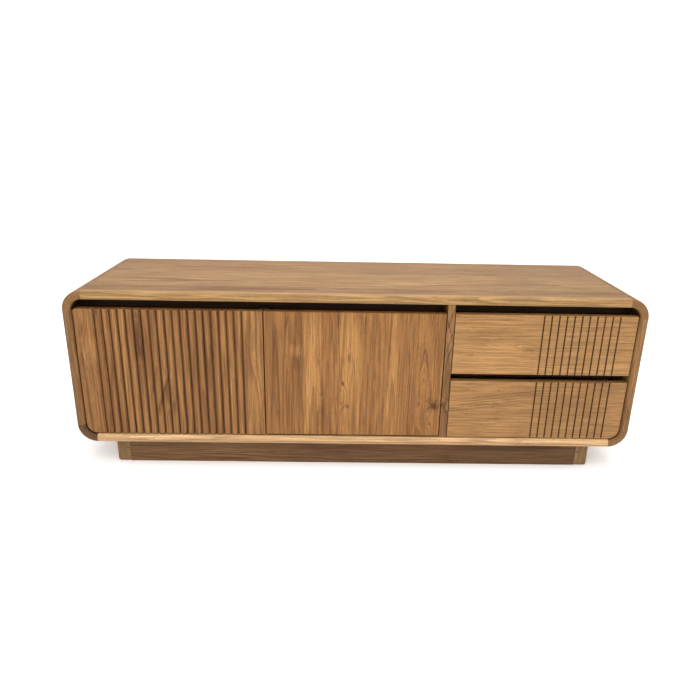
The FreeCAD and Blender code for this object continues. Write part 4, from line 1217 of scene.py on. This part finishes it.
@dataclass
class Drawers(Assembly):
    """Two reeded fronts and their boxes."""

    frame: dict
    reed_field: tuple[float, float] = (0.241, 0.459)
    reed_depth: float = 0.004

    @staticmethod
    def _marks(name: str, low: Vector, high: Vector) -> tuple[Mark, ...]:
        """The streaks of a front: a pale lens on the upper one, rising lines on the lower one.

        Args:
            name: which drawer.
            low: the lowest corner of its front.
            high: the highest corner.

        Returns:
            The marks, across being height here and along the cabinet's length.
        """
        if name == "upper":
            return (Mark(high.z - 0.097, low.x + 0.150, 0.010, 0.060, -1.0),
                    Mark(high.z - 0.060, low.x + 0.100, 0.020, 0.100, 0.2),
                    Mark(high.z - 0.100, low.x + 0.210, 0.010, 0.016, 0.35),
                    Mark(high.z - 0.090, low.x + 0.350, 0.110, 0.120, 0.18))
        rising = tuple(Mark(high.z - 0.062 + step * 0.011, low.x + 0.115 + step * 0.02,
                            0.0020, 0.125, 0.62, 0.13) for step in (-2, -1, 0, 1, 2))
        return rising + (Mark(high.z - 0.090, low.x + 0.360, 0.110, 0.120, 0.26),)

    def build(self) -> None:
        """Dresses fronts and boxes."""
        eyes = {"upper": ((0.208, -0.100, 0.012, 0.030, 4.0, 0.04), (0.150, -0.092, 0.012, 0.06, 2.0, 0.0)),
                "lower": ((0.10, -0.055, 0.020, 0.20, 2.0, 0.0), (0.33, -0.04, 0.015, 0.12, 2.2, 0.0))}
        for number, (name, spots) in enumerate(eyes.items()):
            low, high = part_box(f"{name}_drawer_front")
            figures = tuple(Figure(high.z + drop, low.x + run, across, along, rings, dark)
                            for run, drop, across, along, rings, dark in spots)
            tones = (0.02, 0.25) if name == "upper" else (0.1, 0.4)
            # Painted shade in the grooves between the reeds.
            grooves = Grooves(Axis.X, low.x + self.reed_field[0], low.x + self.reed_field[1], low.z, high.z,
                              self.reed_depth, 1.0)
            self.dress(Timber(f"oiled_teak_{name}_front", TEAK_DRAWER, Axis.X, Axis.Z,
                              glued_up(51 + number, low.z, high.z, 0.1, tones), low.y, figures,
                              21.0 + number * 3, self._marks(name, low, high), grooves, taper=1.6,
                              line_strength=0.34, waviness=0.7, streaks=0.30),
                       f"{name}_drawer_front")
            low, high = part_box(f"{name}_drawer_sides")
            self.dress(Timber(f"planed_{name}_box", PALE_TIMBER, Axis.Y, Axis.Z,
                              (Stave(low.z, 0.4, low.z, 0.05),), 0.0, (), 25.0 + number, roughness=0.6),
                       f"{name}_drawer_sides")
            self.dress(Timber(f"planed_{name}_box_back", PALE_TIMBER, Axis.X, Axis.Z,
                              (Stave(low.z, 0.45, low.z, 0.05),), 0.0, (), 27.0 + number, roughness=0.6),
                       f"{name}_drawer_back")
            low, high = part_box(f"{name}_drawer_bottom")
            self.dress(Timber(f"veneered_{name}_bottom", PALE_TIMBER, Axis.X, Axis.Y,
                              glued_up(61 + number, low.y, high.y, 0.15, (0.3, 0.6)), high.z, (),
                              29.0 + number, roughness=0.6), f"{name}_drawer_bottom")


@dataclass
class Plinth(Assembly):
    """Posts, rails, pegs, cleats and brace."""

    frame: dict

    def build(self) -> None:
        """Dresses the plinth."""
        for row, seed in (("front", 31.0), ("back", 33.0)):
            low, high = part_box(f"plinth_{row}_posts")
            # Painted shade: the posts in a darker copy, under the overhang.
            self.dress(Timber(f"oiled_teak_{row}_posts", TEAK_POST_SHADED, Axis.Z, Axis.X,
                              (Stave(-0.8, 0.1, -0.69, 0.04), Stave(0.0, 0.1, 0.69, 0.04)), low.y, (), seed,
                              line_strength=0.35), f"plinth_{row}_posts")
            self.dress(Timber(f"oiled_teak_{row}_rail", TEAK_SHADED, Axis.X, Axis.Z,
                              (Stave(0.0, 0.55, -0.02, 0.02), Stave(0.045, 0.8, 0.05, 0.03)),
                              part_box(f"plinth_{row}_rail")[0].y, (), seed + 1.0,
                              shade=(Axis.X, low.x, high.x), line_strength=0.7, streaks=0.9),
                       f"plinth_{row}_rail")
        self.dress(Timber("oiled_teak_side_rails", TEAK_SHADED, Axis.Y, Axis.Z,
                          (Stave(0.0, 0.5, -0.02, 0.02), Stave(0.04, 0.7, 0.05, 0.03)), 0.0, (), 36.0),
                   "plinth_side_rails")
        self.dress(Timber("oiled_teak_brace", TEAK_SHADED, Axis.Y, Axis.Z, (Stave(0.0, 0.6, 0.0, 0.03),), 0.0,
                          (), 37.0), "plinth_brace")
        self.dress(Timber("planed_cleats", PALE_TIMBER, Axis.X, Axis.Y, (Stave(-0.2, 0.5, 0.0, 0.03),), 0.0,
                          (), 38.0, roughness=0.6), "plinth_cleats")
        self.dress(EndGrainPeg("oiled_peg_ends"), "plinth_pegs")


@dataclass
class Hardware(Assembly):
    """Hinges, runners, screws, shelf pins and the magnetic catch."""

    frame: dict

    def build(self) -> None:
        """Dresses the metal and the plastic."""
        nickel, dull = (0.66, 0.64, 0.60), (0.46, 0.43, 0.39)
        zinc, chalk = (0.62, 0.64, 0.66), (0.48, 0.49, 0.50)
        self.dress(PlatedSteel("nickel_pressings", nickel, dull, Axis.Z, 0.26),
                   "left_hinge_cups", "right_hinge_cups", "hinge_arms", "hinge_plates",
                   "left_hinge_case_links", "right_hinge_case_links", "left_hinge_door_links",
                   "right_hinge_door_links")
        self.dress(PlatedSteel("zinc_runners", zinc, chalk, Axis.Y, 0.34), "runner_fixed_members",
                   "upper_runner_middles", "lower_runner_middles", "upper_runner_inners",
                   "lower_runner_inners")
        screws = (("back_panel_screws", "case", Axis.Y), ("plinth_screws", "case", Axis.Z),
                  ("hinge_plate_screws", "case", Axis.X), ("runner_screws", "case", Axis.X),
                  ("left_cup_screws", "left_door", Axis.Y), ("right_cup_screws", "right_door", Axis.Y))
        self.dress(PlatedSteel("zinc_screws", zinc, chalk, Axis.X, 0.36), *(screw[0] for screw in screws),
                   "shelf_pins")
        steel = self.frame["nodes"]["back_panel_screws"].data.materials[0]
        for node, body, axis in screws:
            RecessedScrews(node, body, SCREW_SLOT, axis).build(self.frame, steel)
        self.dress(PlatedSteel("plated_catch_plates", nickel, dull, Axis.X, 0.3), "left_catch_plate",
                   "right_catch_plate")
        self.dress(MouldedPlastic("brown_catch", (0.040, 0.030, 0.026)), "magnetic_catch")


# ---------------------------------------------------------------- studio


@dataclass
class Studio:
    """Floor, light and camera."""

    camera_place: tuple[float, float, float] = (-0.0534, -1.8636, 0.9572)
    yaw: float = 0.0206
    pitch: float = -0.3415
    roll: float = 0.0208
    lens_mm: float = 32.32
    sensor_mm: float = 36.0
    clip_start: float = 0.05
    aim: tuple[float, float, float] = (0.0, 0.0, 0.3)
    floor_reach: float = 12.0
    sky: Colour = (1.0, 0.995, 0.985)
    sky_strength: float = 1.03

    def build(self) -> None:
        """Sets up everything that isn't the cabinet."""
        self._floor()
        self._sky()
        self._lamp("key_light", (-0.4, -2.4, 3.2), 2.2, 46.0)
        self._lamp("top_light", (0.3, 0.2, 3.2), 2.2, 60.0)
        self._camera()
        bpy.context.scene.view_settings.view_transform = "Standard"

    def _floor(self) -> None:
        """A flat sheet at the cabinet's feet."""
        reach = self.floor_reach
        mesh = bpy.data.meshes.new("studio_floor")
        corners = [(-reach, -reach, 0), (reach, -reach, 0), (reach, reach, 0), (-reach, reach, 0)]
        mesh.from_pydata(corners, [], [(0, 1, 2, 3)])
        mesh.materials.append(StudioPaper("studio_paper").material())
        floor = bpy.data.objects.new("studio_floor", mesh)
        bpy.context.collection.objects.link(floor)

    def _sky(self) -> None:
        """Even light from all round."""
        world = bpy.data.worlds.new("studio_sky")
        world.use_nodes = True
        background = world.node_tree.nodes["Background"]
        background.inputs["Color"].default_value = (*self.sky, 1.0)
        background.inputs["Strength"].default_value = self.sky_strength
        bpy.context.scene.world = world

    def _lamp(self, name: str, place: tuple[float, float, float], size: float, power: float) -> None:
        """A square soft box that faces the cabinet.

        Args:
            name: the lamp's name.
            place: where it hangs.
            size: the length of its side.
            power: its power in watts.
        """
        data = bpy.data.lights.new(name, "AREA")
        data.size = size
        data.energy = power
        lamp = bpy.data.objects.new(name, data)
        lamp.location = place
        lamp.rotation_mode = "QUATERNION"
        way = Vector(self.aim) - Vector(place)
        lamp.rotation_quaternion = way.to_track_quat("-Z", "Y")
        bpy.context.collection.objects.link(lamp)

    def _camera(self) -> None:
        """Stands the camera in front, a little above, looking slightly down."""
        data = bpy.data.cameras.new("camera")
        data.lens = self.lens_mm
        data.sensor_width = self.sensor_mm
        data.clip_start = self.clip_start
        camera = bpy.data.objects.new("camera", data)
        turn = Matrix.Rotation(-self.yaw, 4, "Z")
        tilt = Matrix.Rotation(math.pi / 2 + self.pitch, 4, "X")
        lean = Matrix.Rotation(self.roll, 4, "Z")
        camera.matrix_world = Matrix.Translation(self.camera_place) @ turn @ tilt @ lean
        bpy.context.collection.objects.link(camera)
        bpy.context.scene.camera = camera


def main() -> None:
    """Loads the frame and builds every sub-assembly."""
    logging.basicConfig(level=logging.INFO, format="%(name)s: %(message)s")
    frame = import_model()
    Studio().build()
    for assembly in (Shell, RibbedDoor, PlainDoor, Inside, Drawers, Plinth, Hardware):
        assembly(frame).build()


if __name__ == "__main__":
    main()
